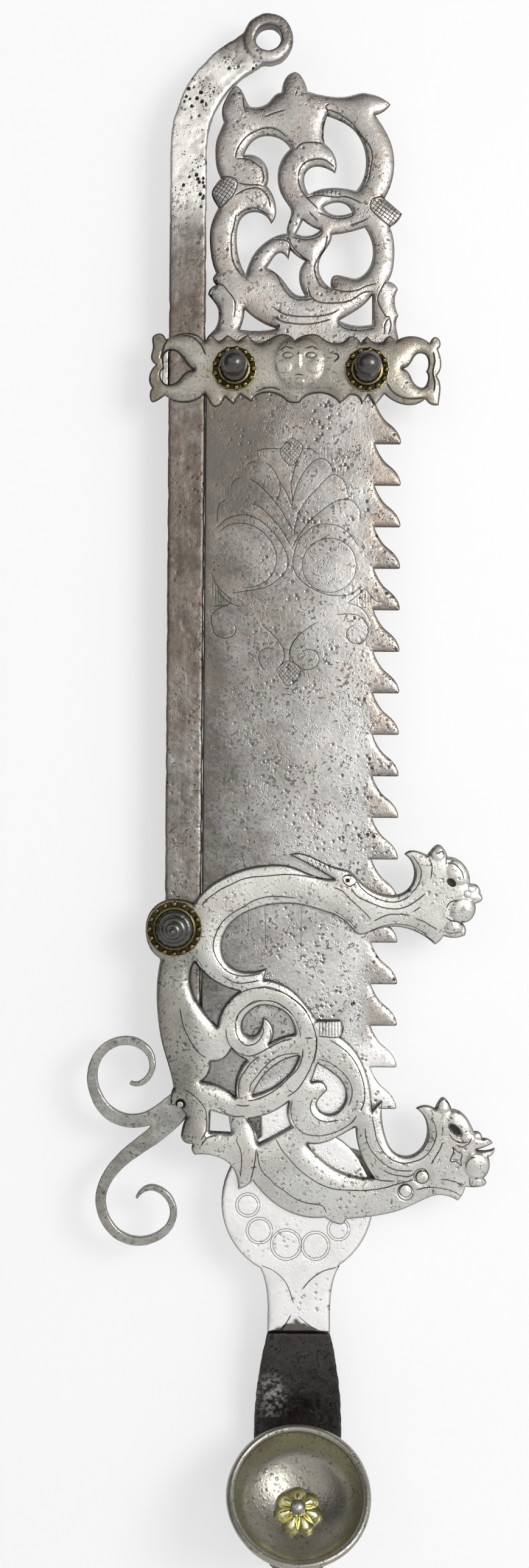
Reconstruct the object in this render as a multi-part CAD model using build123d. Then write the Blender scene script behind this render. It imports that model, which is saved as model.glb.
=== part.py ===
from build123d import *
import math
import os

# Pot trammel: a wrought-iron saw-toothed hanger for a cooking pot.
# It hangs by the eye of its bar, with +Z up and its front towards -Y.
# The origin is the centre of the hanging eye.

# Hanging bar
bar_width = 24.0
bar_thickness = 8.0
bar_offset = 52.0
bar_tail = 66.0
bend_radius = 70.0
eye_rise = 33.0
eye_bore_radius = 8.5
eye_ring_radius = 16.5
eye_thickness = 12.0
eye_arris = 3.0
pivot_boss_radius = 14.5

# Clearances between pieces that slide or turn
slide_clearance = 0.3
pivot_clearance = 0.08

# Saw blade, with its pierced crest above and its disc below
blade_width = 128.8
blade_thickness = 5.0
crest_drop = 20.9
crest_height = 177.9
tooth_count = 17
tooth_pitch = 27.33
tooth_depth = 17.2
tooth_tip_radius = 1.2
crest_to_first_tooth = 67.0
waist_width = 49.0
waist_fillet = 7.0
disc_radius = 49.8
disc_below_teeth = 61.5
disc_offset = 64.2
neck_width = 41.2
neck_barb_width = 53.0
neck_barb_height = 42.0
neck_length = 86.0
neck_offset = 1.6
neck_flare = 1.0

# Pot hook, forged in one line with the blade's neck
hook_thickness = 6.0
hook_lean = 12.0
hook_run = 113.6
hook_wide = 58.0
hook_wide_drop = 72.0
hook_back_radius = 31.3
hook_front_radius = 17.0
hook_low_width = 34.0
hook_tip_width = 26.0
hook_tip_length = 18.0

# Dish on the tip of the hook
dish_tilt = 40.0
dish_radius = 46.5
dish_depth = 32.0
dish_wall = 2.0
dish_floor_radius = 16.4
dish_lip = 2.6
rosette_radius = 15.6
rosette_height = 6.5
rosette_petals = 7
dish_rivet_radius = 2.5
dish_rivet_head = 5.0

# Collar, riveted to the blade and sliding on the bar
collar_plate_thickness = 5.0
collar_height = 47.9
collar_width = 191.5
collar_overhang = 12.7
collar_drop = 218.6
collar_strap_height = 28.0
collar_strap_thickness = 4.0
collar_strap_bend = 6.0
collar_rivet_left = 18.9
collar_rivet_inset = 23.1
collar_rivet_radius = 3.5
finial_radius = 8.6
finial_height = 25.0
finial_neck = 5.2
washer_radius = 14.6
washer_thickness = 3.0
bead_radius = 1.7
bead_count = 13

# Catch, swinging on the bar and engaging the teeth
pivot_drop = 584.9
pivot_from_bar_edge = 6.8
pivot_rivet_radius = 4.0
catch_plate_thickness = 6.0
catch_lobe_radius = 19.0
catch_width = 229.7
catch_height = 248.9
catch_reach_up = 56.1
catch_strap_width = 24.0
catch_strap_sag = 45.0
catch_strap_thickness = 5.0
block_gap = 11.4
block_fall = 165.8
block_length = 15.0
block_width = 7.4
block_turn = 40.0
catch_rivet_spacing = 14.2
catch_rivet_radius = 2.6
catch_rivet_head = 4.6
catch_rivet_head_height = 0.8
pivot_washer_radius = 18.2
pivot_washer_thickness = 3.2
pivot_bead_count = 16
pivot_cone_radius = 12.4
pivot_cone_height = 13.0
pivot_cone_steps = 4
pivot_cone_groove = 0.8
pivot_cone_tip = 1.2
back_washer_radius = 11.0
back_washer_thickness = 2.0
peened_head_radius = 6.5
peened_head_height = 2.5

# Scroll handle behind the lower corner of the catch
scroll_thickness = 6.0
scroll_rivet_radius = 2.2
scroll_rivet_head = 3.8

# Depths that the pieces share, worked out from the sizes above
bar_front = -bar_thickness / 2
bar_back = bar_thickness / 2
blade_front = bar_front - slide_clearance
blade_back = blade_front + blade_thickness
collar_back = blade_front
collar_front = collar_back - collar_plate_thickness
catch_back = blade_front - slide_clearance
catch_front = catch_back - catch_plate_thickness
catch_strap_front = bar_back + slide_clearance
catch_strap_back = catch_strap_front + catch_strap_thickness

# Places that the pieces share
bar_left = -bar_offset - bar_width / 2
bar_right = -bar_offset + bar_width / 2
blade_left = bar_right + slide_clearance
blade_right = blade_left + blade_width
crest_top = -crest_drop
crest_bottom = crest_top - crest_height
first_tooth = crest_bottom - crest_to_first_tooth
blade_bottom = first_tooth - (tooth_count - 1) * tooth_pitch
disc_x = blade_left + disc_offset
disc_z = blade_bottom - disc_below_teeth
neck_top = disc_z - neck_barb_height
neck_bottom = disc_z - neck_length
hook_x = disc_x + neck_offset
collar_z = -collar_drop
left_finial_x = blade_left + collar_rivet_left
right_finial_x = blade_right - collar_rivet_inset
pivot_x = bar_left + pivot_from_bar_edge
pivot_z = -pivot_drop
block_x = blade_right + block_gap
block_z = pivot_z - block_fall

# The photograph is turned level before a place on it is read
photo_centre = (434.5, 1288.0)
photo_roll = math.radians(0.42)


def level(point):
    """Turn a place on the photograph level."""
    across = point[0] - photo_centre[0]
    down = point[1] - photo_centre[1]
    x = photo_centre[0] + across * math.cos(photo_roll) + down * math.sin(photo_roll)
    y = photo_centre[1] + down * math.cos(photo_roll) - across * math.sin(photo_roll)
    return x, y


class Tracing:
    """Carry places on the photograph to a piece, through one box that both share."""

    def __init__(self, frame, left, right, bottom, top):
        self.low = frame[0], frame[3]
        self.left = left
        self.bottom = bottom
        self.across = (right - left) / (frame[1] - frame[0])
        self.up = (top - bottom) / (frame[3] - frame[2])

    def place(self, point):
        """Give the place of a photograph point on the piece, in the X-Z plane."""
        x, y = level(point)
        return Vector(self.left + (x - self.low[0]) * self.across, 0,
                      self.bottom + (self.low[1] - y) * self.up)

    def loop(self, strokes):
        """Close a wire from smooth strokes that meet at corners."""
        start = self.place(strokes[-1][-1])
        edges = []
        for stroke in strokes:
            points = [start] + [self.place(point) for point in stroke]
            edges.append(Spline(*points) if len(points) > 2 else Line(*points))
            start = points[-1]
        return Wire(edges)


def slab(face, front, back):
    """Thicken an X-Z face between two depths."""
    return extrude(Pos(0, back, 0) * face, amount=back - front, dir=(0, -1, 0))


def rod(x, z, radius, front, back):
    """Make a round rod along Y between two depths."""
    return Pos(x, (front + back) / 2, z) * Rot(90, 0, 0) * Cylinder(radius, back - front)


def dome(x, z, radius, height, seat):
    """Make a low domed head that bulges towards the front from its seat."""
    ball = (radius ** 2 + height ** 2) / (2 * height)
    arc = ThreePointArc((radius, 0), (ball * math.sin(math.asin(radius / ball) / 2),
                        height - ball + ball * math.cos(math.asin(radius / ball) / 2)), (0, height))
    profile = make_face(Line((0, 0), (radius, 0)) + arc + Line((0, height), (0, 0)))
    return Pos(x, seat, z) * Rot(90, 0, 0) * revolve(Plane.XZ * profile, Axis.Z)


def turned(points, x, z, seat):
    """Turn a profile of radii and heights about an axis that points to the front."""
    profile = make_face(Polyline(*points, close=True))
    return Pos(x, seat, z) * Rot(90, 0, 0) * revolve(Plane.XZ * profile, Axis.Z)


def bar_path():
    """Follow the middle of the bar from its lower end up round the bend to the eye."""
    rise = math.radians(eye_rise)
    reach = bar_offset - bend_radius * (1 - math.sin(rise))
    bend_end = Vector(-reach, 0, -reach * math.tan(rise))
    bend_start = Vector(-bar_offset, 0, bend_end.Z - bend_radius * math.cos(rise))
    bend_centre = bend_start + Vector(bend_radius, 0, 0)
    turn = math.pi / 4 - rise / 2
    middle = bend_centre + Vector(-bend_radius * math.cos(turn), 0, bend_radius * math.sin(turn))
    straight = Line(Vector(-bar_offset, 0, pivot_z - bar_tail + bar_width / 2), bend_start)
    return straight, ThreePointArc(bend_start, middle, bend_end), Line(bend_end, Vector(0, 0, 0))


def hanging_bar():
    """Forge the flat bar with its bent top, its eye and its widened pivot boss."""
    straight, bend, reach = bar_path()
    strap = Sketch()
    for edge in (straight, bend, reach):
        strap += trace_flat(edge, bar_width)
    strap += disc_face(0, 0, eye_ring_radius)
    strap += disc_face(-bar_offset, pivot_z - bar_tail + bar_width / 2, bar_width / 2)
    strap += disc_face(pivot_x, pivot_z, pivot_boss_radius)
    bar = slab(strap, bar_front, bar_back)
    bar -= rod(0, 0, eye_ring_radius - eye_arris, -eye_thickness, eye_thickness)
    ring = rod(0, 0, eye_ring_radius, -eye_thickness / 2, eye_thickness / 2)
    ring = fillet(ring.edges(), eye_arris)
    bar += ring - rod(0, 0, eye_bore_radius, -eye_thickness, eye_thickness)
    return bar - rod(pivot_x, pivot_z, pivot_rivet_radius + pivot_clearance, -eye_thickness, eye_thickness)


def trace_flat(edge, width):
    """Widen an edge of the X-Z plane into a strip."""
    side = Vector(0, 1, 0)
    if edge.geom_type == GeomType.LINE:
        start, end = edge @ 0, edge @ 1
        across = (end - start).normalized().cross(side) * (width / 2)
        return Face(Wire(Polyline(start + across, end + across, end - across, start - across, close=True)))
    centre = edge.arc_center
    rails = []
    for radius in (edge.radius - width / 2, edge.radius + width / 2):
        points = [centre + (edge @ share - centre).normalized() * radius for share in (0, 0.5, 1)]
        rails.append(ThreePointArc(*points))
    inner, outer = rails
    return Face(Wire([inner, Line(inner @ 1, outer @ 1), outer, Line(outer @ 0, inner @ 0)]))


def disc_face(x, z, radius):
    """Give a round X-Z face."""
    return Pos(x, 0, z) * Rot(90, 0, 0) * Face(Wire.make_circle(radius))


# Crest outline and piercings, as places on the photograph, and the level frame round them
# as its left, right, top and bottom
crest_frame = (332.2, 655.6, 115.1, 560.0)
crest_outline = [
    [(344, 548), (353, 537), (358, 522), (357, 505), (350, 493), (341, 482)],
    [(343, 475), (348, 469), (354, 466)],
    [(349, 458), (354, 447)],
    [(347, 425), (344, 400), (345, 372), (351, 353), (358, 339)],
    [(351, 328), (347, 315), (352, 303), (362, 291)],
    [(355, 272), (353, 250), (355, 228), (362, 210), (367, 198)],
    [(364, 186), (365, 172), (371, 158), (379, 145), (388, 138)],
    [(396, 145), (403, 159), (410, 172)],
    [(424, 173), (440, 166), (452, 153), (462, 149)],
    [(465, 135), (473, 121), (486, 115.5), (497, 125), (505, 147)],
    [(522, 152), (545, 156), (575, 155), (595, 150), (606, 151)],
    [(626, 157), (643, 169)],
    [(634, 179), (618, 187)],
    [(632, 208), (645, 237), (649, 265), (646, 292), (633, 324)],
    [(648, 337), (662, 349)],
    [(655, 361), (642, 371)],
    [(648, 392), (649, 420), (645, 447), (639, 460)],
    [(648, 464), (655, 474)],
    [(650, 488), (651, 503), (656, 517)],
    [(652, 530), (654, 547), (656, 558)],
    [(656, 572)],
    [(338, 572)],
]
crest_holes = [
    [[(408, 238), (422, 225), (440, 221), (458, 225), (477, 242)],
     [(466, 254), (458, 272), (456, 292), (461, 315), (470, 330), (478, 344), (475, 360), (471, 381)],
     [(452, 386), (434, 397), (419, 412), (409, 430), (403, 449)],
     [(395, 432), (389, 405), (389, 378), (397, 356), (412, 347), (430, 349), (445, 366)],
     [(453, 352), (453, 335), (448, 318), (438, 303)],
     [(441, 286), (435, 266), (421, 254), (401, 252)]],
    [[(556, 195), (578, 208), (595, 231), (602, 260), (598, 290), (586, 311)],
     [(566, 307), (545, 306), (525, 309), (508, 317)],
     [(501, 302), (502, 283), (513, 273), (532, 273), (551, 283)],
     [(553, 262), (546, 246), (534, 234)],
     [(532, 218), (538, 188)]],
    [[(545, 332), (560, 331), (579, 347)], [(563, 351), (547, 350), (532, 338)]],
    [[(510, 369), (526, 376)], [(508, 385), (487, 382)], [(498, 360)]],
    [[(572, 380), (600, 372)],
     [(611, 394), (613, 420), (604, 443), (588, 455)],
     [(570, 453), (552, 450), (544, 471)],
     [(530, 457), (524, 438), (530, 416), (541, 400), (546, 384)]],
    [[(446, 426), (456, 415), (474, 425)],
     [(477, 409)],
     [(488, 419), (501, 427)],
     [(492, 445), (493, 466), (501, 484)],
     [(482, 479), (467, 461), (455, 448), (438, 438)]],
    [[(421, 523), (453, 538)], [(425, 542), (394, 540)], [(399, 525), (402, 507)]],
    [[(602, 496), (580, 512), (558, 525)], [(583, 533), (612, 531)], [(612, 484)]],
]


def tooth_edges(index):
    """Draw one tooth's slope, rounded tip and flat underside, going down."""
    root = blade_right - tooth_depth
    top = first_tooth - (index - 1) * tooth_pitch
    underside = top - tooth_pitch
    slope = [(0, 0), (0.07, 0.12), (0.21, 0.28), (0.42, 0.45), (0.65, 0.57), (0.85, 0.71), (0.97, 0.86)]
    points = [Vector(root + share * tooth_depth, 0, top - fall * tooth_pitch) for share, fall in slope]
    tip_top = Vector(blade_right, 0, underside + tooth_tip_radius)
    tip_end = Vector(blade_right - tooth_tip_radius, 0, underside)
    tip_gap = tooth_tip_radius * (1 - math.sqrt(0.5))
    points.append(tip_top)
    tip_middle = Vector(blade_right - tip_gap, 0, underside + tip_gap)
    return [Spline(*points), ThreePointArc(tip_top, tip_middle, tip_end),
            Line(tip_end, Vector(root, 0, underside))]


def blade_face():
    """Outline the blade from the foot of the crest down to the bottom of the neck."""
    root = blade_right - tooth_depth
    edges = [Line(Vector(blade_left, 0, crest_bottom), Vector(root, 0, crest_bottom)),
             Line(Vector(root, 0, crest_bottom), Vector(root, 0, first_tooth + tooth_pitch))]
    for index in range(tooth_count):
        edges += tooth_edges(index)
    edges += [Line(Vector(root, 0, blade_bottom), Vector(blade_left, 0, blade_bottom)),
              Line(Vector(blade_left, 0, blade_bottom), Vector(blade_left, 0, crest_bottom))]
    return Face(Wire(edges))


def neck_face():
    """Outline the neck, with its two barbs where it leaves the disc."""
    half = neck_width / 2
    barb = neck_barb_width / 2
    step = (neck_length - neck_barb_height) / 3
    right = Spline(Vector(hook_x + barb, 0, neck_top), Vector(hook_x + half + neck_flare, 0, neck_top - step),
                   Vector(hook_x + half, 0, neck_bottom), tangents=((-0.6, 0, -1), (0, 0, -1)))
    left = Spline(Vector(hook_x - half, 0, neck_bottom), Vector(hook_x - half - neck_flare, 0, neck_top - step),
                  Vector(hook_x - barb, 0, neck_top), tangents=((0, 0, 1), (-0.6, 0, 1)))
    return Face(Wire([right, Line(right @ 1, left @ 0), left, Line(left @ 1, Vector(disc_x, 0, disc_z)),
                      Line(Vector(disc_x, 0, disc_z), right @ 0)]))


def waist_face():
    """Join the toothed plate to the disc with a waist that has hollow shoulders."""
    half = waist_width / 2
    shoulder = blade_bottom - waist_fillet
    edges = []
    for side in (1, -1):
        corner = Vector(disc_x + side * (half + waist_fillet), 0, blade_bottom)
        foot = Vector(disc_x + side * half, 0, shoulder)
        hollow = Vector(disc_x + side * (half + waist_fillet * (1 - math.sin(math.pi / 4))), 0,
                        blade_bottom - waist_fillet * (1 - math.cos(math.pi / 4)))
        edges.append((corner, hollow, foot))
    right, left = edges
    return Face(Wire([ThreePointArc(*right), Line(right[2], Vector(disc_x + half, 0, disc_z)),
                      Line(Vector(disc_x + half, 0, disc_z), Vector(disc_x - half, 0, disc_z)),
                      Line(Vector(disc_x - half, 0, disc_z), left[2]), ThreePointArc(*reversed(left)),
                      Line(left[0], right[0])]))


def saw_blade():
    """Cut the pierced crest, the toothed plate, the disc and the neck from one plate."""
    tracing = Tracing(crest_frame, blade_left, blade_right, crest_bottom, crest_top)
    crest = Face(tracing.loop(crest_outline), [tracing.loop(hole) for hole in crest_holes])
    blade = slab(blade_face(), blade_front, blade_back)
    for face in (crest, waist_face(), disc_face(disc_x, disc_z, disc_radius), neck_face()):
        blade += slab(face, blade_front, blade_back)
    for x in (left_finial_x, right_finial_x):
        blade -= rod(x, collar_z, collar_rivet_radius, blade_front, blade_back)
    return blade


def hook_run_end():
    """Give the side-view place where the hook's straight run ends."""
    lean = math.radians(hook_lean)
    middle = blade_back - blade_thickness / 2
    return Vector(0, middle + hook_run * math.sin(lean), neck_bottom - hook_run * math.cos(lean))


def hook_centres():
    """Give the side-view centres of the hook's wide back turn and its tighter front turn."""
    lean = math.radians(hook_lean)
    back = hook_run_end() + Vector(0, -math.cos(lean), -math.sin(lean)) * hook_back_radius
    return back, back + Vector(0, 0, hook_front_radius - hook_back_radius)


def on_turn(centre, angle, radius):
    """Give a side-view place on a turn, by the angle from straight back."""
    turn = math.radians(angle)
    return centre + Vector(0, radius * math.cos(turn), -radius * math.sin(turn))


def turn_face(centre, radius, first, last):
    """Outline a turn of the hook in side view between two angles."""
    sides = []
    for side in (radius - hook_thickness / 2, radius + hook_thickness / 2):
        angles = (first, (first + last) / 2, last)
        sides.append(ThreePointArc(*[on_turn(centre, angle, side) for angle in angles]))
    inside, outside = sides
    return Face(Wire([inside, Line(inside @ 1, outside @ 1), outside, Line(outside @ 0, inside @ 0)]))


def across_hook(face, widths):
    """Give a side-view face its width, then trim it between the widths at its heights."""
    widest = max(width for width, height in widths)
    body = extrude(Pos(hook_x - widest / 2, 0, 0) * face, amount=widest, dir=(1, 0, 0))
    right = [Vector(hook_x + width / 2, 0, height) for width, height in widths]
    left = [Vector(hook_x - width / 2, 0, height) for width, height in reversed(widths)]
    smooth = [Spline(*side) if len(side) > 2 else Line(*side) for side in (right, left)]
    rails = [smooth[0], Line(right[-1], left[0]), smooth[1], Line(left[-1], right[0])]
    depth = hook_run + hook_back_radius
    return body & slab(Face(Wire(rails)), -depth, depth)


def tip_place(along, out):
    """Give a side-view place on the hook's flat tip, along it and out of its middle line."""
    tilt = math.radians(dish_tilt)
    foot = on_turn(hook_centres()[1], 180 + dish_tilt, hook_front_radius + out)
    return foot + Vector(0, math.sin(tilt), math.cos(tilt)) * along


def pot_hook():
    """Forge the strap that leans back from the neck and turns up into the hook."""
    back_centre, front_centre = hook_centres()
    lean = math.radians(hook_lean)
    square = Vector(0, math.cos(lean), math.sin(lean)) * (hook_thickness / 2)
    half = hook_thickness / 2
    strap = Face(Wire(Polyline(Vector(0, blade_front, neck_bottom), hook_run_end() - square,
                               hook_run_end() + square, Vector(0, blade_back, neck_bottom), close=True)))
    tip = Face(Wire(Polyline(tip_place(0, -half), tip_place(hook_tip_length, -half),
                             tip_place(hook_tip_length, half), tip_place(0, half), close=True)))
    bottom = back_centre.Z - hook_back_radius - hook_thickness
    back_widths = [(neck_width, neck_bottom), (hook_wide, neck_bottom - hook_wide_drop),
                   (hook_low_width, bottom)]
    tip_height = tip_place(hook_tip_length, half).Z + hook_thickness
    front_widths = [(hook_tip_width, tip_height), (hook_low_width, bottom)]
    hook = across_hook(strap, back_widths)
    hook += across_hook(turn_face(back_centre, hook_back_radius, -hook_lean, 90), back_widths)
    hook += across_hook(turn_face(front_centre, hook_front_radius, 90, 180 + dish_tilt), front_widths)
    hook += across_hook(tip, front_widths)
    return hook - dish_drill(dish_rivet_radius)


def dish_place():
    """Place the dish's own frame, with its axis out of the middle of the hook's tip."""
    seat = tip_place(hook_tip_length / 2, hook_thickness / 2)
    return Pos(hook_x, seat.Y, seat.Z) * Rot(90 - dish_tilt, 0, 0)


def dish_drill(radius):
    """Make the rod that pins the dish, the rosette and the hook's tip together."""
    length = dish_wall + rosette_height + hook_thickness
    middle = (dish_wall + rosette_height - hook_thickness) / 2
    return dish_place() * Pos(0, 0, middle) * Cylinder(radius, length)


def dish_curve(radius, floor, rim_height, base):
    """Curve one side of the dish from its flat floor out to its rim."""
    shoulder = (floor + (radius - floor) * 0.66, base + (rim_height - base) * 0.36)
    return Spline((floor, base), shoulder, (radius, rim_height), tangents=((1, 0), (0.32, 1)))


def hook_dish():
    """Raise the round dish, with its rolled lip and its hole for the rivet."""
    outer = dish_curve(dish_radius - dish_lip, dish_floor_radius, dish_depth - dish_lip, 0)
    inner = dish_curve(dish_radius - dish_lip - dish_wall, dish_floor_radius, dish_depth - dish_lip,
                       dish_wall)
    section = make_face(Wire([Line((0, 0), outer @ 0), outer, Line(outer @ 1, inner @ 1), inner,
                              Line(inner @ 0, (0, dish_wall)), Line((0, dish_wall), (0, 0))]))
    bowl = revolve(Plane.XZ * section, Axis.Z)
    lip = Pos(0, 0, dish_depth - dish_lip) * Torus(dish_radius - dish_lip, dish_lip)
    return dish_place() * (bowl + lip) - dish_drill(dish_rivet_radius)


def dish_rosette():
    """Cast the petalled brass rosette on the dish's floor."""
    half_turn = math.sin(math.pi / rosette_petals)
    petal_radius = rosette_radius * half_turn / (1 + half_turn)
    ring = rosette_radius - petal_radius
    rosette = Pos(0, 0, rosette_height / 2) * Cylinder(ring, rosette_height)
    for index in range(rosette_petals):
        turn = Rot(0, 0, index * 360 / rosette_petals)
        petal = Cylinder(petal_radius * 1.06, rosette_height * 0.7)
        rosette += turn * Pos(ring, 0, rosette_height * 0.35) * petal
    return dish_place() * Pos(0, 0, dish_wall) * rosette - dish_drill(dish_rivet_radius)


def dish_rivet():
    """Head the iron rivet over the rosette."""
    top = dish_wall + rosette_height
    ball = Pos(0, 0, top) * Sphere(dish_rivet_head)
    head = ball & Pos(0, 0, top + dish_rivet_head / 2) * Box(*[2 * dish_rivet_head] * 2, dish_rivet_head)
    return dish_drill(dish_rivet_radius) + dish_place() * head


# Collar outline and its two heart holes, as places on the photograph
collar_frame = (240.2, 719.0, 552.0, 671.6)
collar_outline = [
    [(258, 552), (251, 557), (251, 573), (248, 590), (256, 603)],
    [(247, 615), (245, 630), (250, 641)],
    [(246, 652), (250, 664), (260, 661), (271, 653)],
    [(285, 661), (305, 664), (324, 659), (337, 650)],
    [(345, 664)],
    [(352, 671), (370, 655)],
    [(383, 667)],
    [(395, 651)],
    [(403, 656), (413, 663)],
    [(425, 651), (442, 648), (458, 652), (471, 662)],
    [(480, 665), (492, 664)],
    [(507, 652), (526, 649), (545, 654), (558, 666)],
    [(575, 652)],
    [(584, 653), (594, 668)],
    [(605, 652)],
    [(616, 669)],
    [(631, 651)],
    [(650, 664), (676, 669), (698, 659)],
    [(710, 669), (720, 669)],
    [(722, 655), (723, 637), (717, 621)],
    [(724, 607), (723, 590), (719, 577)],
    [(723, 566), (719, 559), (705, 567)],
    [(692, 559), (671, 556), (650, 564)],
    [(639, 556), (629, 566)],
    [(616, 566), (603, 556)],
    [(592, 567)],
    [(583, 557), (572, 557)],
    [(556, 567), (536, 563), (522, 554), (505, 553), (484, 563)],
    [(474, 554), (458, 553), (443, 560), (424, 568)],
    [(414, 562), (408, 553)],
    [(390, 564)],
    [(374, 554)],
    [(360, 565)],
    [(345, 553)],
    [(336, 565)],
    [(322, 553), (302, 551), (286, 555), (273, 561)],
]
collar_hearts = [
    [[(311, 604), (300, 590), (286, 579), (271, 584), (268, 597), (270, 608)],
     [(264, 622), (272, 634), (290, 631), (303, 617), (318, 611)]],
    [[(676, 597), (686, 585), (697, 586), (703, 600), (699, 614)],
     [(702, 628), (694, 640), (681, 634), (673, 619), (661, 609)]],
]


def collar_front_plate():
    """Cut the collar's front plate, with its heart holes, from one sheet."""
    left = bar_left - collar_overhang
    tracing = Tracing(collar_frame, left, left + collar_width,
                      collar_z - collar_height / 2, collar_z + collar_height / 2)
    plate = slab(Face(tracing.loop(collar_outline), [tracing.loop(heart) for heart in collar_hearts]),
                 collar_front, collar_back)
    for x in (left_finial_x, right_finial_x):
        plate -= rod(x, collar_z, collar_rivet_radius, collar_front, collar_back)
    return plate


def collar_back_strap():
    """Bend the strap that lies on the blade's back and wraps round the bar."""
    wall = collar_strap_thickness
    right = right_finial_x + collar_strap_bend + collar_rivet_radius
    step = blade_left + slide_clearance
    behind = bar_back + slide_clearance
    outside = bar_left - slide_clearance
    points = [(right, blade_back), (step + wall, blade_back), (step, behind), (outside, behind),
              (outside, collar_back), (outside - wall, collar_back), (outside - wall, behind + wall),
              (step + wall, behind + wall), (step + 2 * wall, blade_back + wall), (right, blade_back + wall)]
    section = make_face(Polyline(*points, close=True))
    strap = extrude(Pos(0, 0, collar_z - collar_strap_height / 2) * section, amount=collar_strap_height,
                    dir=(0, 0, 1))
    for x in (left_finial_x, right_finial_x):
        strap -= rod(x, collar_z, collar_rivet_radius, blade_back, bar_back + wall + bar_thickness)
    return strap


def beaded_washer(x, z, seat, radius, thickness, beads, bore):
    """Cast a brass washer with a raised rim and a ring of beads."""
    rim = radius - bead_radius
    profile = [(0, 0), (radius, 0), (radius, thickness * 0.8), (rim + bead_radius / 2, thickness * 0.8),
               (rim - bead_radius, thickness / 2), (0, thickness / 2)]
    washer = turned(profile, x, z, seat)
    for index in range(beads):
        turn = 2 * math.pi * index / beads
        along = rim - bead_radius
        place = Pos(x + along * math.cos(turn), seat - bead_radius, z + along * math.sin(turn))
        washer += place * Sphere(bead_radius)
    return washer - rod(x, z, bore, seat - 2 * thickness, seat)


def collar_washer(x):
    """Make the beaded washer under one of the collar's finials."""
    return beaded_washer(x, collar_z, collar_front, washer_radius, washer_thickness, bead_count,
                         collar_rivet_radius)


def collar_rivet(x):
    """Forge one collar rivet, with its tall domed finial in front and its peened head behind."""
    seat = collar_front - washer_thickness / 2
    belly = finial_height - finial_radius
    profile = [(0, 0), (finial_radius, 0), (finial_radius, finial_neck / 2), (finial_neck, finial_neck),
               (finial_neck, belly - finial_radius * 0.5), (0, belly - finial_radius * 0.5)]
    rivet = turned(profile, x, collar_z, seat)
    rivet += Pos(x, seat - belly, collar_z) * Sphere(finial_radius)
    back = blade_back + collar_strap_thickness
    rivet += rod(x, collar_z, collar_rivet_radius, seat, back)
    return rivet + peened_head(x, collar_z, back)


def peened_head(x, z, seat):
    """Spread a rivet's end over a back face."""
    head = dome(0, 0, peened_head_radius, peened_head_height, 0)
    return Pos(x, seat, z) * Rot(180, 0, 0) * head


# Catch outline, from the pivot lobe round the two heads, as places on the photograph
catch_frame = (241.2, 815.4, 1384.9, 2007.1)
catch_outline = [
    [(337, 1461), (366, 1441), (400, 1427), (440, 1420), (475, 1422), (510, 1436), (547, 1443)],
    [(520, 1427), (475, 1403)],
    [(490, 1401), (520, 1411), (550, 1424), (575, 1432), (592, 1448), (615, 1464), (642, 1470),
     (665, 1463), (678, 1443), (677, 1421), (663, 1403)],
    [(672, 1397), (686, 1398), (701, 1404)],
    [(710, 1392), (719, 1387), (728, 1394), (734, 1407)],
    [(752, 1412), (766, 1428), (771, 1451)],
    [(784, 1455), (788, 1467)],
    [(791, 1476), (779, 1484)],
    [(779, 1498), (771, 1511), (758, 1515)],
    [(764, 1528), (762, 1536)],
    [(745, 1540), (727, 1537)],
    [(721, 1545), (713, 1551)],
    [(692, 1535), (665, 1524), (635, 1522), (605, 1531), (588, 1534), (577, 1525), (558, 1507),
     (530, 1496), (495, 1486), (460, 1484), (425, 1490), (395, 1503), (372, 1525), (364, 1553),
     (372, 1580), (392, 1593), (415, 1595), (438, 1590)],
    [(433, 1608)],
    [(458, 1613), (485, 1630), (505, 1653), (520, 1674)],
    [(558, 1674)],
    [(563, 1683), (559, 1702)],
    [(580, 1721), (597, 1750), (607, 1785), (610, 1822)],
    [(627, 1806)],
    [(626, 1832), (632, 1864), (647, 1891), (668, 1897), (689, 1886), (700, 1860), (697, 1837), (682, 1819)],
    [(695, 1814), (713, 1819)],
    [(719, 1807), (726, 1801), (734, 1807), (740, 1820)],
    [(757, 1826), (769, 1840), (777, 1857)],
    [(786, 1858), (791, 1868)],
    [(800, 1869), (808, 1876)],
    [(797, 1882), (782, 1887)],
    [(797, 1888), (811, 1884)],
    [(809, 1893), (801, 1899)],
    [(803, 1911), (801, 1922), (793, 1933)],
    [(797, 1942), (783, 1948), (763, 1947)],
    [(759, 1959), (750, 1970)],
    [(735, 1963), (717, 1961), (695, 1968), (660, 1984), (615, 1995), (567, 2000)],
    [(563, 2008), (547, 2006), (533, 1998)],
    [(505, 1998), (475, 1989), (447, 1972), (427, 1953), (414, 1937)],
    [(403, 1947), (391, 1951)],
    [(388, 1930), (378, 1912), (355, 1898), (320, 1895)],
    [(315, 1887), (316, 1877)],
    [(303, 1874), (297, 1864)],
    [(300, 1848), (306, 1832)],
    [(297, 1819), (281, 1813)],
    [(280, 1800), (285, 1784)],
    [(279, 1756), (267, 1715), (259, 1665), (258, 1615), (264, 1574)],
    [(248, 1559), (239.5, 1527), (247, 1497), (267, 1480), (290, 1476), (318, 1484)],
]
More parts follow.
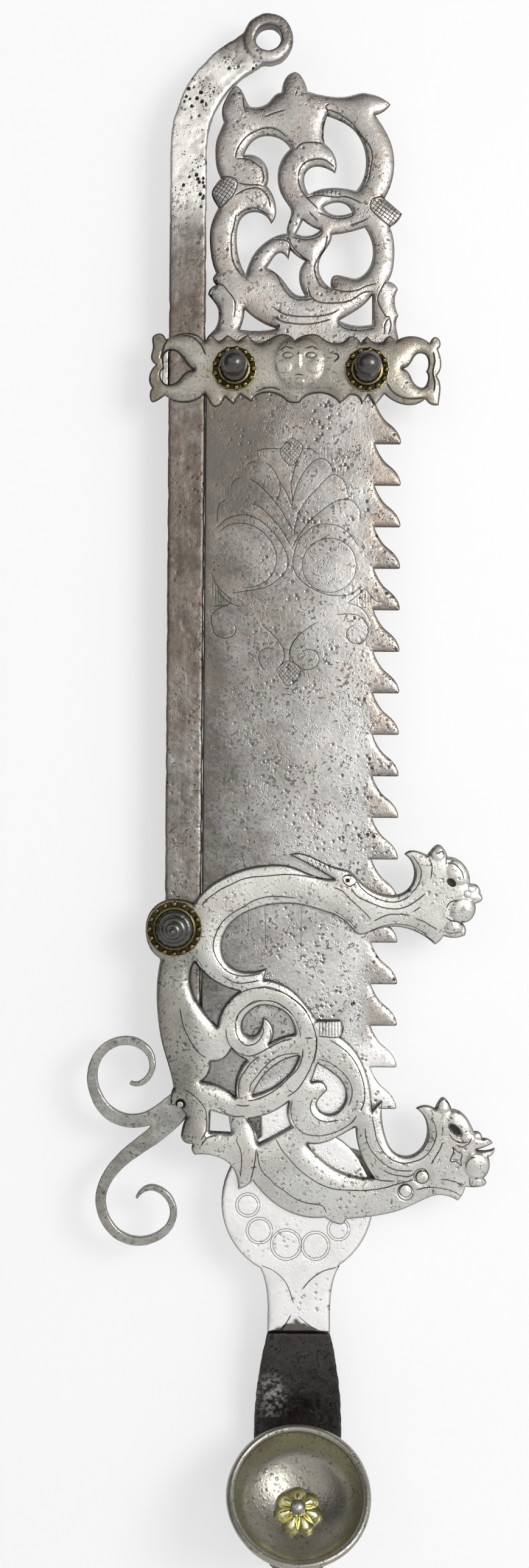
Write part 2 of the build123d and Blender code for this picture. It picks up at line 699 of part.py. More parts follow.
catch_openings = [
    [[(313, 1602), (318, 1632), (333, 1658), (356, 1684)],
     [(366, 1655), (394, 1627)],
     [(365, 1618), (342, 1604), (320, 1580)]],
    [[(460, 1703), (483, 1697)],
     [(480, 1678), (468, 1662), (447, 1652), (427, 1651), (408, 1662), (398, 1680), (402, 1696),
      (416, 1700), (426, 1690), (431, 1670)],
     [(442, 1677), (449, 1693), (442, 1713)]],
    [[(389, 1731), (404, 1740)],
     [(391, 1760), (386, 1800)],
     [(362, 1783), (331, 1775)],
     [(343, 1762), (346, 1743)],
     [(363, 1740), (380, 1722)]],
    [[(435, 1763), (458, 1744), (490, 1733)], [(473, 1764), (448, 1784), (415, 1797)]],
    [[(548, 1763), (565, 1785), (565, 1808), (550, 1826), (531, 1826), (520, 1812), (527, 1799), (537, 1789)],
     [(531, 1777), (511, 1775)],
     [(521, 1746)]],
    [[(375, 1832)], [(379, 1858)], [(345, 1856)], [(346, 1823)]],
    [[(444, 1827), (474, 1808)], [(471, 1830), (477, 1848)], [(452, 1862), (424, 1876)],
     [(419, 1856), (408, 1837)]],
    [[(530, 1876), (557, 1864), (583, 1850)],
     [(587, 1880), (612, 1932)],
     [(575, 1928), (538, 1910), (504, 1877)]],
]


def catch_front_plate():
    """Cut the catch's pierced front plate, with its two beast heads."""
    tracing = catch_tracing()
    openings = [tracing.loop(opening) for opening in catch_openings]
    plate = slab(Face(tracing.loop(catch_outline), openings), catch_front, catch_back)
    plate -= rod(pivot_x, pivot_z, pivot_rivet_radius, catch_front, catch_back)
    for x, z in catch_rivet_places():
        plate -= rod(x, z, catch_rivet_radius, catch_front, catch_back)
    x, z = scroll_rivet_place()
    return plate - rod(x, z, scroll_rivet_radius, catch_front, catch_back)


def catch_rivet_places():
    """Give the places of the two rivets that hold the catch's block."""
    turn = math.radians(block_turn)
    reach = catch_rivet_spacing / 2
    step = (reach * math.cos(turn), reach * math.sin(turn))
    return [(block_x + step[0], block_z + step[1]), (block_x - step[0], block_z - step[1])]


def catch_back_strap():
    """Cut the strap behind the blade, from the pivot to the block."""
    pivot, block = Vector(pivot_x, 0, pivot_z), Vector(block_x, 0, block_z)
    downwards = (block - pivot).normalized().cross(Vector(0, -1, 0))
    middle = ThreePointArc(pivot, (pivot + block) / 2 + downwards * catch_strap_sag, block)
    strap = slab(trace_flat(middle, catch_strap_width), catch_strap_front, catch_strap_back)
    strap += rod(pivot_x, pivot_z, catch_strap_width / 2, catch_strap_front, catch_strap_back)
    strap += rod(block_x, block_z, catch_strap_width / 2, catch_strap_front, catch_strap_back)
    strap -= rod(pivot_x, pivot_z, pivot_rivet_radius, catch_strap_front, catch_strap_back)
    for x, z in catch_rivet_places():
        strap -= rod(x, z, catch_rivet_radius, catch_strap_front, catch_strap_back)
    return strap


def catch_block():
    """Make the cross-block that the teeth rest on, between the front plate and the back strap."""
    length = block_length + 2 * catch_rivet_radius
    block = Pos(block_x, (catch_back + catch_strap_front) / 2, block_z) * Rot(0, -block_turn, 0) \
        * Box(length, catch_strap_front - catch_back, block_width)
    for x, z in catch_rivet_places():
        block -= rod(x, z, catch_rivet_radius, catch_back, catch_strap_front)
    return block


def catch_rivet(place):
    """Make one flush-headed rivet through the plate, the block and the strap."""
    x, z = place
    rivet = rod(x, z, catch_rivet_radius, catch_front, catch_strap_back)
    rivet += dome(x, z, catch_rivet_head, catch_rivet_head_height, catch_front)
    return rivet + Pos(x, catch_strap_back, z) * Rot(180, 0, 0) \
        * dome(0, 0, catch_rivet_head, catch_rivet_head_height, 0)


def pivot_washer():
    """Make the beaded washer under the pivot rivet's cone."""
    return beaded_washer(pivot_x, pivot_z, catch_front, pivot_washer_radius, pivot_washer_thickness,
                         pivot_bead_count, pivot_rivet_radius)


def pivot_rivet():
    """Turn the pivot rivet, with its stepped cone in front and its peened head behind."""
    seat = catch_front - pivot_washer_thickness / 2
    points = [(0, 0), (pivot_cone_radius, 0)]
    for step in range(1, pivot_cone_steps + 1):
        height = step * pivot_cone_height / pivot_cone_steps
        inner = pivot_cone_radius * (1 - step / pivot_cone_steps)
        outer = inner + pivot_cone_radius / pivot_cone_steps
        points.append((outer, height - pivot_cone_groove))
        points.append((inner + pivot_cone_tip, height))
    points.append((0, pivot_cone_height))
    back = catch_strap_back + back_washer_thickness
    rivet = turned(points, pivot_x, pivot_z, seat) + rod(pivot_x, pivot_z, pivot_rivet_radius, seat, back)
    return rivet + peened_head(pivot_x, pivot_z, back)


def pivot_back_washer():
    """Make the plain washer under the pivot rivet's peened head."""
    back = catch_strap_back + back_washer_thickness
    washer = rod(pivot_x, pivot_z, back_washer_radius, catch_strap_back, back)
    return washer - rod(pivot_x, pivot_z, pivot_rivet_radius, catch_strap_back, back)


# Middle lines of the two scrolls, as places on the photograph with the width there
upper_scroll = [(296, 1800, 20), (268, 1822, 24), (240, 1838, 23), (212, 1841, 22), (180, 1829, 21),
                (158, 1800, 19), (151, 1765, 17), (162, 1733, 16), (190, 1712, 15), (222, 1712, 14),
                (245, 1730, 12), (250, 1752, 10), (240, 1773, 9), (225, 1781, 8), (213, 1778, 6)]
lower_scroll = [(302, 1820, 26), (281, 1840, 30), (250, 1867, 28), (212, 1895, 24), (180, 1928, 20),
                (165, 1967, 17), (172, 2002, 16), (196, 2030, 15), (229, 2039, 14), (262, 2029, 13),
                (283, 2003, 12), (281, 1975, 11), (264, 1956, 10), (245, 1951, 9), (231, 1958, 7),
                (224, 1969, 5)]
scroll_tang = (296, 1812)
scroll_tang_width = 9.6
scroll_tang_height = 15.0


def catch_tracing():
    """Give the tracing that the scrolls share with the catch's front plate."""
    left = pivot_x - catch_lobe_radius
    top = pivot_z + catch_reach_up
    return Tracing(catch_frame, left, left + catch_width, top - catch_height, top)


def scroll_face(places):
    """Outline a tapered rod along the middle line of a scroll."""
    tracing = catch_tracing()
    middle = Spline(*[tracing.place(place[:2]) for place in places])
    count = len(places)
    sides = []
    for side in (1, -1):
        points = []
        for index, place in enumerate(places):
            centre = tracing.place(place[:2])
            share = middle.param_at_point(centre)
            heading = middle % share
            normal = heading.cross(Vector(0, 1, 0))
            points.append(centre + normal * (side * place[2] * tracing.across / 2))
        sides.append(points)
    left, right = Spline(*sides[0]), Spline(*reversed(sides[1]))
    return Face(Wire([left, Line(left @ 1, right @ 0), right, Line(right @ 1, left @ 0)]))


def scroll_rivet_place():
    """Give the place of the scroll handle's rivet."""
    place = catch_tracing().place(scroll_tang)
    return place.X, place.Z


def scroll_handle():
    """Forge the split handle: two tapered scrolls from one tang behind the front plate."""
    x, z = scroll_rivet_place()
    back = catch_back + scroll_thickness
    handle = slab(scroll_face(upper_scroll), catch_back, back)
    handle += slab(scroll_face(lower_scroll), catch_back, back)
    tang = Box(scroll_tang_width, scroll_thickness, scroll_tang_height)
    handle += Pos(x, (catch_back + back) / 2, z) * tang
    return handle - rod(x, z, scroll_rivet_radius, catch_back, back)


def scroll_rivet():
    """Make the flush rivet through the scroll handle's tang."""
    x, z = scroll_rivet_place()
    back = catch_back + scroll_thickness
    rivet = rod(x, z, scroll_rivet_radius, catch_front, back)
    head = dome(0, 0, scroll_rivet_head, catch_rivet_head_height, 0)
    return rivet + Pos(x, back, z) * Rot(180, 0, 0) * head


upper_catch_rivet, lower_catch_rivet = catch_rivet_places()

pieces = {
    "hanging_bar": hanging_bar(),
    "saw_blade": saw_blade(),
    "pot_hook": pot_hook(),
    "hook_dish": hook_dish(),
    "dish_rosette": dish_rosette(),
    "dish_rivet": dish_rivet(),
    "collar_front_plate": collar_front_plate(),
    "collar_back_strap": collar_back_strap(),
    "collar_washer_left": collar_washer(left_finial_x),
    "collar_washer_right": collar_washer(right_finial_x),
    "collar_rivet_left": collar_rivet(left_finial_x),
    "collar_rivet_right": collar_rivet(right_finial_x),
    "catch_front_plate": catch_front_plate(),
    "catch_back_strap": catch_back_strap(),
    "catch_block": catch_block(),
    "catch_rivet_upper": catch_rivet(upper_catch_rivet),
    "catch_rivet_lower": catch_rivet(lower_catch_rivet),
    "pivot_washer": pivot_washer(),
    "pivot_rivet": pivot_rivet(),
    "pivot_back_washer": pivot_back_washer(),
    "scroll_handle": scroll_handle(),
    "scroll_rivet": scroll_rivet(),
}

os.makedirs("parts", exist_ok=True)
for name, piece in pieces.items():
    export_step(piece, f"parts/{name}.step")
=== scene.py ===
import logging
import math
from dataclasses import dataclass, field
from enum import Enum
from typing import Callable, Dict, Iterable, List, Optional, Sequence, Tuple, Union

import bmesh
import bpy
import numpy as np
from mathutils import Matrix, Vector, geometry, kdtree
from mathutils import noise as mathutils_noise


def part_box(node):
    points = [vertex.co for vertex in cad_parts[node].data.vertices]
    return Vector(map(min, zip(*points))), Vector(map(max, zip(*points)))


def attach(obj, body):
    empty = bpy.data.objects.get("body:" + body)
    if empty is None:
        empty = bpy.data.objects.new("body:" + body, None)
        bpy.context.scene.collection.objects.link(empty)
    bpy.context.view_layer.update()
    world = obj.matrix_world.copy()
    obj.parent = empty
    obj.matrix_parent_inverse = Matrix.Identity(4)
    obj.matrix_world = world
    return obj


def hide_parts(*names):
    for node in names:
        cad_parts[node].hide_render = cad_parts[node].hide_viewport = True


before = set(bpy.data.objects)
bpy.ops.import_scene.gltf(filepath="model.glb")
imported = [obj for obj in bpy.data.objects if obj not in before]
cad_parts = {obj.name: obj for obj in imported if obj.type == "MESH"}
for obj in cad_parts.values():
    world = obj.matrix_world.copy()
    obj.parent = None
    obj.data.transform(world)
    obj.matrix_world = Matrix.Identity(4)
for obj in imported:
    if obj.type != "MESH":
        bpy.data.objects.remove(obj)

log = logging.getLogger("pot_trammel")

Pixel = Tuple[float, float]
Stroke = Sequence[Pixel]
Colour = Tuple[float, float, float]

MM = 0.001


class Body(Enum):
    """The rigid bodies of the trammel, as the CAD part names them."""

    BAR = "bar"
    BLADE = "blade"
    CATCH = "catch"


# Places on the photograph


@dataclass(frozen=True)
class PhotoPlane:
    """Carries a place on the photograph to the plane of the blade's front, in metres."""

    width: float = 869.0
    height: float = 2576.0
    roll: float = 0.0073
    eye_x: float = 432.06
    eye_y: float = 62.95
    scale: float = 0.4 * MM

    def place(self, point: Pixel) -> Tuple[float, float]:
        """Turn a photograph point level and scale it.

        Args:
            point: the place in pixels, from the photograph's upper left corner.

        Returns:
            X and Z in metres, from the hanging eye's centre.
        """
        x, y = point
        level_x = x + self.roll * (y - self.height / 2)
        level_y = y - self.roll * (x - self.width / 2)
        return (level_x - self.eye_x) * self.scale, (self.eye_y - level_y) * self.scale

    def line(self, stroke: Stroke, step: float = 0.5 * MM) -> np.ndarray:
        """Carry a stroke over and draw a smooth line through its points.

        Args:
            stroke: the points in pixels.
            step: the distance between the line's points, in metres.

        Returns:
            An array of X and Z places.
        """
        return smooth_line(np.array([self.place(p) for p in stroke]), step)


def smooth_line(points: np.ndarray, step: float) -> np.ndarray:
    """Draw an even line through points with Catmull-Rom spans.

    Args:
        points: the places to pass through, one a row.
        step: the distance between the places of the result, in metres.

    Returns:
        The places along the line.
    """
    if len(points) < 3:
        ends = points
    else:
        padded = np.vstack([2 * points[0] - points[1], points, 2 * points[-1] - points[-2]])
        parts = []
        for index in range(1, len(padded) - 2):
            before, start, end, after = padded[index - 1:index + 3]
            t = np.linspace(0, 1, 12, endpoint=False)[:, None]
            parts.append(0.5 * (2 * start + (end - before) * t + (2 * before - 5 * start + 4 * end - after) * t ** 2
                                + (3 * start - before - 3 * end + after) * t ** 3))
        ends = np.vstack(parts + [points[-1:]])
    along = np.concatenate([[0], np.cumsum(np.linalg.norm(np.diff(ends, axis=0), axis=1))])
    count = max(2, int(round(along[-1] / step)) + 1)
    wanted = np.linspace(0, along[-1], count)
    return np.column_stack([np.interp(wanted, along, ends[:, axis]) for axis in range(ends.shape[1])])


PHOTO = PhotoPlane()


# Shader maths


class Socket:
    """A node socket that can be used in Python expressions."""

    def __init__(self, shader: "Shader", link: bpy.types.NodeSocket) -> None:
        """Keep the socket and the shader that it belongs to."""
        self.shader = shader
        self.link = link

    def _math(self, operation: str, *values: "Value") -> "Socket":
        """Add a Math node that works on these values."""
        made = self.shader.node("ShaderNodeMath", {"operation": operation}, dict(enumerate(values)))
        return made.out(0)

    def __add__(self, other: "Value") -> "Socket":
        """Add."""
        return self._math("ADD", self, other)

    def __radd__(self, other: "Value") -> "Socket":
        """Add, with the socket on the right."""
        return self._math("ADD", other, self)

    def __sub__(self, other: "Value") -> "Socket":
        """Subtract."""
        return self._math("SUBTRACT", self, other)

    def __rsub__(self, other: "Value") -> "Socket":
        """Subtract the socket."""
        return self._math("SUBTRACT", other, self)

    def __mul__(self, other: "Value") -> "Socket":
        """Multiply."""
        return self._math("MULTIPLY", self, other)

    def __rmul__(self, other: "Value") -> "Socket":
        """Multiply, with the socket on the right."""
        return self._math("MULTIPLY", other, self)

    def __truediv__(self, other: "Value") -> "Socket":
        """Divide."""
        return self._math("DIVIDE", self, other)

    def __pow__(self, other: "Value") -> "Socket":
        """Raise to a power."""
        return self._math("POWER", self, other)

    def clamp(self) -> "Socket":
        """Keep the value between 0 and 1."""
        made = self.shader.node("ShaderNodeClamp", {}, {0: self})
        return made.out(0)

    def step(self, low: float, high: float) -> "Socket":
        """Rise smoothly from 0 at low to 1 at high.

        Args:
            low: the value that gives 0.
            high: the value that gives 1; it may be the smaller one.

        Returns:
            The eased value.
        """
        settings = {"interpolation_type": "SMOOTHSTEP"}
        if low < high:
            return self.shader.node("ShaderNodeMapRange", settings, {0: self, 1: low, 2: high}).out(0)
        return self.shader.node("ShaderNodeMapRange", settings, {0: self, 1: high, 2: low, 3: 1.0, 4: 0.0}).out(0)


Value = Union[Socket, float, Sequence[float]]


class Made:
    """A node that has been made, for reading its outputs."""

    def __init__(self, shader: "Shader", node: bpy.types.Node) -> None:
        """Keep the node."""
        self.shader = shader
        self.node = node

    def out(self, name: Union[int, str]) -> Socket:
        """Give an output by its place or name."""
        return Socket(self.shader, self.node.outputs[name])


class Shader:
    """Builds a node tree for a material or a world."""

    def __init__(self, owner: Union[bpy.types.Material, bpy.types.World]) -> None:
        """Empty the owner's tree and give it an output."""
        owner.use_nodes = True
        self.tree = owner.node_tree
        self.tree.nodes.clear()
        kind = "ShaderNodeOutputWorld" if isinstance(owner, bpy.types.World) else "ShaderNodeOutputMaterial"
        self.output = self.tree.nodes.new(kind)

    def node(self, kind: str, settings: Dict[str, object], values: Dict[Union[int, str], Value]) -> Made:
        """Make a node, set its settings, then fill its sockets.

        Args:
            kind: the node's type.
            settings: its settings; "stops" gives a ramp's positions and colours.
            values: a number, a colour or a socket for each input.

        Returns:
            The made node.
        """
        node = self.tree.nodes.new(kind)
        for name, value in settings.items():
            if name == "stops":
                ramp = node.color_ramp
                while len(ramp.elements) < len(value):
                    ramp.elements.new(0.5)
                for element, (position, colour) in zip(ramp.elements, value):
                    element.position = position
                    element.color = (*colour, 1.0)
            else:
                setattr(node, name, value)
        for name, value in values.items():
            socket = node.inputs[name]
            if isinstance(value, Socket):
                self.tree.links.new(value.link, socket)
            elif isinstance(value, (tuple, list)) and socket.type == "RGBA":
                socket.default_value = (*value, 1.0)
            else:
                socket.default_value = value
        return Made(self, node)

    def mix(self, factor: Value, first: Value, second: Value) -> Socket:
        """Blend two colours.

        Args:
            factor: 0 for the first colour, 1 for the second.
            first: a colour or a socket.
            second: a colour or a socket.

        Returns:
            The blended colour.
        """
        made = self.node("ShaderNodeMix", {"data_type": "RGBA"}, {0: factor, 6: first, 7: second})
        return made.out(2)

    def coordinates(self, stretch: Tuple[float, float, float] = (1.0, 1.0, 1.0)) -> Socket:
        """Give the object's own coordinates, stretched on each axis."""
        place = self.node("ShaderNodeTexCoord", {}, {}).out("Object")
        return self.node("ShaderNodeMapping", {}, {"Vector": place, "Scale": stretch}).out(0)

    def noise(self, scale: float, detail: float = 3.0, rough: float = 0.55,
              stretch: Tuple[float, float, float] = (1.0, 1.0, 1.0)) -> Socket:
        """Give a noise value.

        Args:
            scale: how many cells fill a metre.
            detail: how many finer octaves are added.
            rough: how strong the finer octaves are.
            stretch: a scale for each axis.

        Returns:
            The noise, from 0 to 1.
        """
        values = {"Vector": self.coordinates(stretch), "Scale": scale, "Detail": detail, "Roughness": rough}
        return self.node("ShaderNodeTexNoise", {}, values).out(0)

    def cells(self, scale: float, stretch: Tuple[float, float, float] = (1.0, 1.0, 1.0)) -> Socket:
        """Give the distance to the nearest of scattered points."""
        values = {"Vector": self.coordinates(stretch), "Scale": scale}
        return self.node("ShaderNodeTexVoronoi", {}, values).out(0)

    def attribute(self, name: str) -> Socket:
        """Read a value that the mesh carries."""
        return self.node("ShaderNodeAttribute", {"attribute_name": name}, {}).out("Fac")

    def bump(self, height: Value, distance: float, strength: float) -> Socket:
        """Turn a height into a normal."""
        values = {"Height": height, "Distance": distance, "Strength": strength}
        return self.node("ShaderNodeBump", {}, values).out(0)

    def finish(self, shader: Socket) -> None:
        """Link the closing shader to the output."""
        self.tree.links.new(shader.link, self.output.inputs[0])


# Finishes


@dataclass(frozen=True)
class MetalFinish:
    """A worked metal: mottled, pitted and stained, with grime and painted shade darkening its recesses and its edges.
    """

    name: str
    dark: Colour
    light: Colour
    stain: Colour
    metallic: float = 1.0
    rough_low: float = 0.30
    rough_high: float = 0.50
    mottle: float = 90.0
    contrast: float = 1.0
    pits: float = 0.5
    pit_scale: float = 230.0
    staining: float = 0.4
    streaks: float = 0.0
    grime_and_shade: float = 0.8
    bump: float = 0.35
    coat: float = 0.0

    def material(self) -> bpy.types.Material:
        """Build the node material, once for each finish."""
        label = self.name + "_finish"
        made = bpy.data.materials.get(label)
        if made:
            return made
        made = bpy.data.materials.new(label)
        made.diffuse_color = (*self.light, 1.0)
        s = Shader(made)
        broad = s.noise(self.mottle * 0.28, 3.0, 0.6)
        middle = s.noise(self.mottle, 4.0, 0.65)
        fine = s.noise(self.mottle * 4.4, 3.0, 0.65)
        pitted = s.attribute("pitted") + 1.0
        speck = fine.step(0.53, 0.63) * middle.step(0.42, 0.58)
        cloud = (broad - 0.5) * 0.6 + (middle - 0.5) * 0.5 + (fine - 0.5) * 0.5
        tone = (cloud - speck * pitted * 0.62) * self.contrast + 0.56 + s.attribute("tone")
        if self.streaks:
            streak = s.noise(420.0, 4.0, 0.6, (1.0, 1.0, 0.06))
            tone = tone + (streak - 0.5) * self.streaks
        colour = s.mix(tone.clamp(), self.dark, self.light)
        groove = s.attribute("groove")
        edge = s.attribute("edge")
        patch = s.noise(46.0, 4.0, 0.62).step(0.47, 0.62)
        brown = s.attribute("brown")
        stain = patch * self.staining + brown * (patch * 0.4 + 0.5) + edge * 0.15
        colour = s.mix(stain.clamp(), colour, self.stain)
        pit = self.pitting(s, self.pit_scale) + self.pitting(s, self.pit_scale * 2.3) * 0.7
        pit = pit * pitted
        colour = s.mix((pit * self.pits).clamp(), colour, tuple(c * 0.3 for c in self.dark))
        # Painted shade: the groove value (engraved lines, the bosses' ditches and sunk forms, the plates' side walls)
        # and the edge value darken the colour, partly as grime and partly as shade that would fall there.
        dirt_and_shade = groove * self.grime_and_shade + edge * 0.8
        colour = s.mix(dirt_and_shade.clamp(), colour, tuple(c * 0.15 for c in self.dark))
        rough = self.rough_low + (fine * 0.6 + broad * 0.4) * (self.rough_high - self.rough_low)
        rough = rough + stain * 0.12 + groove * 0.35
        height = (fine * 0.8 + middle * 0.5 - pit * 0.9) + broad * 0.6
        values = {"Base Color": colour, "Metallic": self.metallic, "Roughness": rough.clamp(),
                  "Normal": s.bump(height, 0.0006, self.bump), "Coat Weight": self.coat, "Coat Roughness": 0.18}
        s.finish(s.node("ShaderNodeBsdfPrincipled", {}, values).out(0))
        return made

    @staticmethod
    def pitting(s: "Shader", scale: float) -> "Socket":
        """Scatter round pits in drifts.

        Args:
            s: the shader that is being built.
            scale: how many pits could stand along a metre.

        Returns:
            1 in a pit and 0 beside it.
        """
        drift = s.noise(scale * 0.16, 3.0, 0.6).step(0.47, 0.62)
        return s.cells(scale).step(0.38, 0.12) * drift


BLADE_STEEL = MetalFinish("blade_steel", (0.125, 0.12, 0.108), (0.96, 0.955, 0.94), (0.36, 0.28, 0.22),
                          metallic=0.9, rough_low=0.22, rough_high=0.40, pits=0.7, staining=0.10, grime_and_shade=0.95,
                          bump=0.5)
CATCH_STEEL = MetalFinish("catch_steel", (0.13, 0.13, 0.105), (0.92, 0.92, 0.88), (0.44, 0.35, 0.26),
                          metallic=0.9, rough_low=0.20, rough_high=0.36, mottle=110.0, contrast=0.9, pits=0.5,
                          staining=0.10, grime_and_shade=0.95, bump=0.32)
BAR_IRON = MetalFinish("bar_iron", (0.10, 0.085, 0.07), (0.84, 0.82, 0.78), (0.19, 0.15, 0.12),
                       metallic=0.85, rough_low=0.28, rough_high=0.48, contrast=0.8, pits=0.8, staining=0.12,
                       streaks=0.35, bump=0.6)
# Near-black: dark iron, and painted shade of the strap bending away from the light.
HOOK_IRON = MetalFinish("hook_iron", (0.022, 0.020, 0.019), (0.34, 0.33, 0.32), (0.06, 0.045, 0.04),
                        metallic=0.8, rough_low=0.28, rough_high=0.46, contrast=0.45, pits=0.6, bump=0.6)
DISH_IRON = MetalFinish("dish_iron", (0.10, 0.095, 0.075), (0.56, 0.55, 0.48), (0.20, 0.16, 0.13),
                        metallic=0.9, rough_low=0.26, rough_high=0.42, contrast=0.7, pits=0.4, staining=0.22)
BLACK_IRON = MetalFinish("black_iron", (0.014, 0.013, 0.012), (0.11, 0.106, 0.095), (0.05, 0.04, 0.035),
                         metallic=0.6, rough_low=0.14, rough_high=0.30, contrast=0.6, pits=0.3, coat=0.5)
OLD_BRASS = MetalFinish("old_brass", (0.020, 0.017, 0.010), (0.34, 0.27, 0.12), (0.035, 0.045, 0.03),
                        metallic=1.0, rough_low=0.18, rough_high=0.36, mottle=120.0, contrast=0.9, pits=0.3,
                        staining=0.35)
BRIGHT_BRASS = MetalFinish("bright_brass", (0.62, 0.55, 0.22), (1.0, 0.98, 0.62), (0.32, 0.25, 0.10),
                           metallic=1.0, rough_low=0.16, rough_high=0.32, contrast=0.7, pits=0.2, staining=0.1)


# Turned, forged and relief pieces as meshes


def make_piece(name: str, points: np.ndarray, faces: Sequence[Sequence[int]], finish: "MetalFinish",
               values: Optional[Dict[str, np.ndarray]] = None, crease: float = 38.0) -> bpy.types.Object:
    """Make an object from points and faces, smooth except over its creases.

    Args:
        name: the new object's name.
        points: the places, one a row, in metres.
        faces: the point numbers of each face.
        finish: what the piece is made of.
        values: a number on each point, by name, for the finish.
        crease: the angle in degrees from which an edge stays sharp.

    Returns:
        The object, linked into the scene.
    """
    mesh = bpy.data.meshes.new(name)
    mesh.from_pydata([tuple(p) for p in points], [], [tuple(f) for f in faces])
    for label, numbers in (values or {}).items():
        mesh.attributes.new(label, "FLOAT", "POINT").data.foreach_set("value", np.asarray(numbers, np.float32))
    return link_piece(name, mesh, finish, crease)


def link_piece(name: str, mesh: bpy.types.Mesh, finish: "MetalFinish", crease: float = 38.0) -> bpy.types.Object:
    """Close a mesh's normals, shade it and link it as an object."""
    work = bmesh.new()
    work.from_mesh(mesh)
    bmesh.ops.recalc_face_normals(work, faces=work.faces)
    work.to_mesh(mesh)
    work.free()
    mesh.shade_smooth()
    mesh.set_sharp_from_angle(angle=math.radians(crease))
    mesh.materials.clear()
    mesh.materials.append(finish.material())
    made = bpy.data.objects.new(name, mesh)
    bpy.context.scene.collection.objects.link(made)
    log.info("%s: %d faces", name, len(mesh.polygons))
    return made


@dataclass
class Placed:
    """A piece that stands for a CAD node and moves with a body."""

    node: str
    body: Body
    slot: str
    finish: MetalFinish
    # Per-point tone, stain and pitting; for some pieces the tone holds painted shade and sheen as well as patina.
    patina_and_shade: Callable[[np.ndarray], Dict[str, np.ndarray]] = field(default=lambda places: {}, kw_only=True)

    @property
    def name(self) -> str:
        """The name of the dressed piece."""
        return f"{self.node}_worked"

    def put(self, made: bpy.types.Object) -> bpy.types.Object:
        """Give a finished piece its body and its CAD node."""
        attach(made, self.body.value)
        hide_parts(self.node)
        return made


def welded(node: str) -> bpy.types.Mesh:
    """Copy a CAD node's mesh with its loose triangles joined.

    Args:
        node: the CAD node's name.

    Returns:
        A closed mesh in the frame's own place.
    """
    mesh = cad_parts[node].data.copy()
    work = bmesh.new()
    work.from_mesh(mesh)
    bmesh.ops.remove_doubles(work, verts=work.verts, dist=0.002 * MM)
    work.to_mesh(mesh)
    work.free()
    mesh.materials.clear()
    return mesh


def mesh_points(mesh: bpy.types.Mesh) -> np.ndarray:
    """Give a mesh's points as rows."""
    places = np.empty(3 * len(mesh.vertices), np.float32)
    mesh.vertices.foreach_get("co", places)
    return places.reshape(-1, 3).astype(float)


@dataclass
class Forging(Placed):
    """A hammered piece: the CAD node's form with worn arrises and soft dents."""

    cell: float = 0.7 * MM
    smoothing: int = 6
    dents: float = 0.10 * MM
    dent_size: float = 7.0 * MM
    side_shade: float = 1.0

    def build(self) -> bpy.types.Object:
        """Remesh the node evenly, wear its edges and dent it.

        Returns:
            The placed piece.
        """
        draft = bpy.data.objects.new(self.name + "_draft", welded(self.node))
        bpy.context.scene.collection.objects.link(draft)
        even = draft.modifiers.new("even", "REMESH")
        even.mode = "VOXEL"
        even.voxel_size = self.cell
        worn = draft.modifiers.new("worn", "SMOOTH")
        worn.factor = 0.5
        worn.iterations = self.smoothing
        evaluated = draft.evaluated_get(bpy.context.evaluated_depsgraph_get())
        mesh = bpy.data.meshes.new_from_object(evaluated)
        bpy.data.objects.remove(draft)
        self.dent(mesh)
        mesh.name = self.name
        return self.put(link_piece(self.name, mesh, self.finish, 60.0))

    def dent(self, mesh: bpy.types.Mesh) -> None:
        """Push the surface in along its normals by soft noise."""
        normals = np.empty(3 * len(mesh.vertices), np.float32)
        mesh.vertices.foreach_get("normal", normals)
        places = mesh_points(mesh)
        depth = np.array([soft_noise(Vector(p) / self.dent_size) for p in places])
        depth = self.dents * np.clip(depth * 1.8, -1, 0.35)
        places += normals.reshape(-1, 3) * depth[:, None]
        mesh.vertices.foreach_set("co", places.ravel())
        # Painted shade: faces turned sideways from the front are darkened; the dents' hollows are darkened too.
        side = np.clip((0.82 - np.abs(normals.reshape(-1, 3)[:, 1])) / 0.5, 0, 0.7) * self.side_shade
        values = {"edge": np.maximum(np.clip(-depth / self.dents, 0, 1) * 0.3, side), **self.patina_and_shade(places)}
        for label, numbers in values.items():
            mesh.attributes.new(label, "FLOAT", "POINT").data.foreach_set("value", numbers.astype(np.float32))


def soft_noise(place: Vector) -> float:
    """Give broad dents with finer ones on them, from about -1 to 1."""
    return mathutils_noise.noise(place) + 0.5 * mathutils_noise.noise(place * 2.3)


@dataclass(frozen=True)
class Axis:
    """The axis that a turned piece is turned about."""

    centre: Vector
    direction: Vector = Vector((0.0, -1.0, 0.0))

    def matrix(self) -> Matrix:
        """Carry local Z onto the axis."""
        turn = self.direction.normalized().to_track_quat("Z", "X").to_matrix().to_4x4()
        return Matrix.Translation(self.centre) @ turn


def turn_profile(profile: np.ndarray, axis: Axis, count: int,
                 swell: Callable[[float, float], float] = lambda angle, height: 1.0
                 ) -> Tuple[np.ndarray, List[Tuple[int, ...]]]:
    """Turn a profile about an axis into a closed skin.

    Args:
        profile: radius and height on each row; it starts and ends on the axis, or closes on itself.
        axis: the axis of turning.
        count: the number of points round it.
        swell: what the radius is multiplied by at an angle and a height.

    Returns:
        Points and faces.
    """
    points: List[Vector] = []
    rings: List[List[int]] = []
    carry = axis.matrix()
    for radius, height in profile:
        if radius < 1e-7:
            rings.append([len(points)] * count)
            points.append(carry @ Vector((0, 0, height)))
            continue
        ring = []
        for index in range(count):
            angle = 2 * math.pi * index / count
            wide = radius * swell(angle, height)
            ring.append(len(points))
            points.append(carry @ Vector((wide * math.cos(angle), wide * math.sin(angle), height)))
        rings.append(ring)
    if profile[0][0] > 1e-7:
        rings.append(rings[0])
    faces = []
    for lower, upper in zip(rings, rings[1:]):
        for index in range(count):
            after = (index + 1) % count
            corners = [lower[index], lower[after], upper[after], upper[index]]
            unique = tuple(dict.fromkeys(corners))
            if len(unique) > 2:
                faces.append(unique)
    return np.array(points), faces


# Relief plates: the CAD outline with rounded edges, engraved lines and raised balls


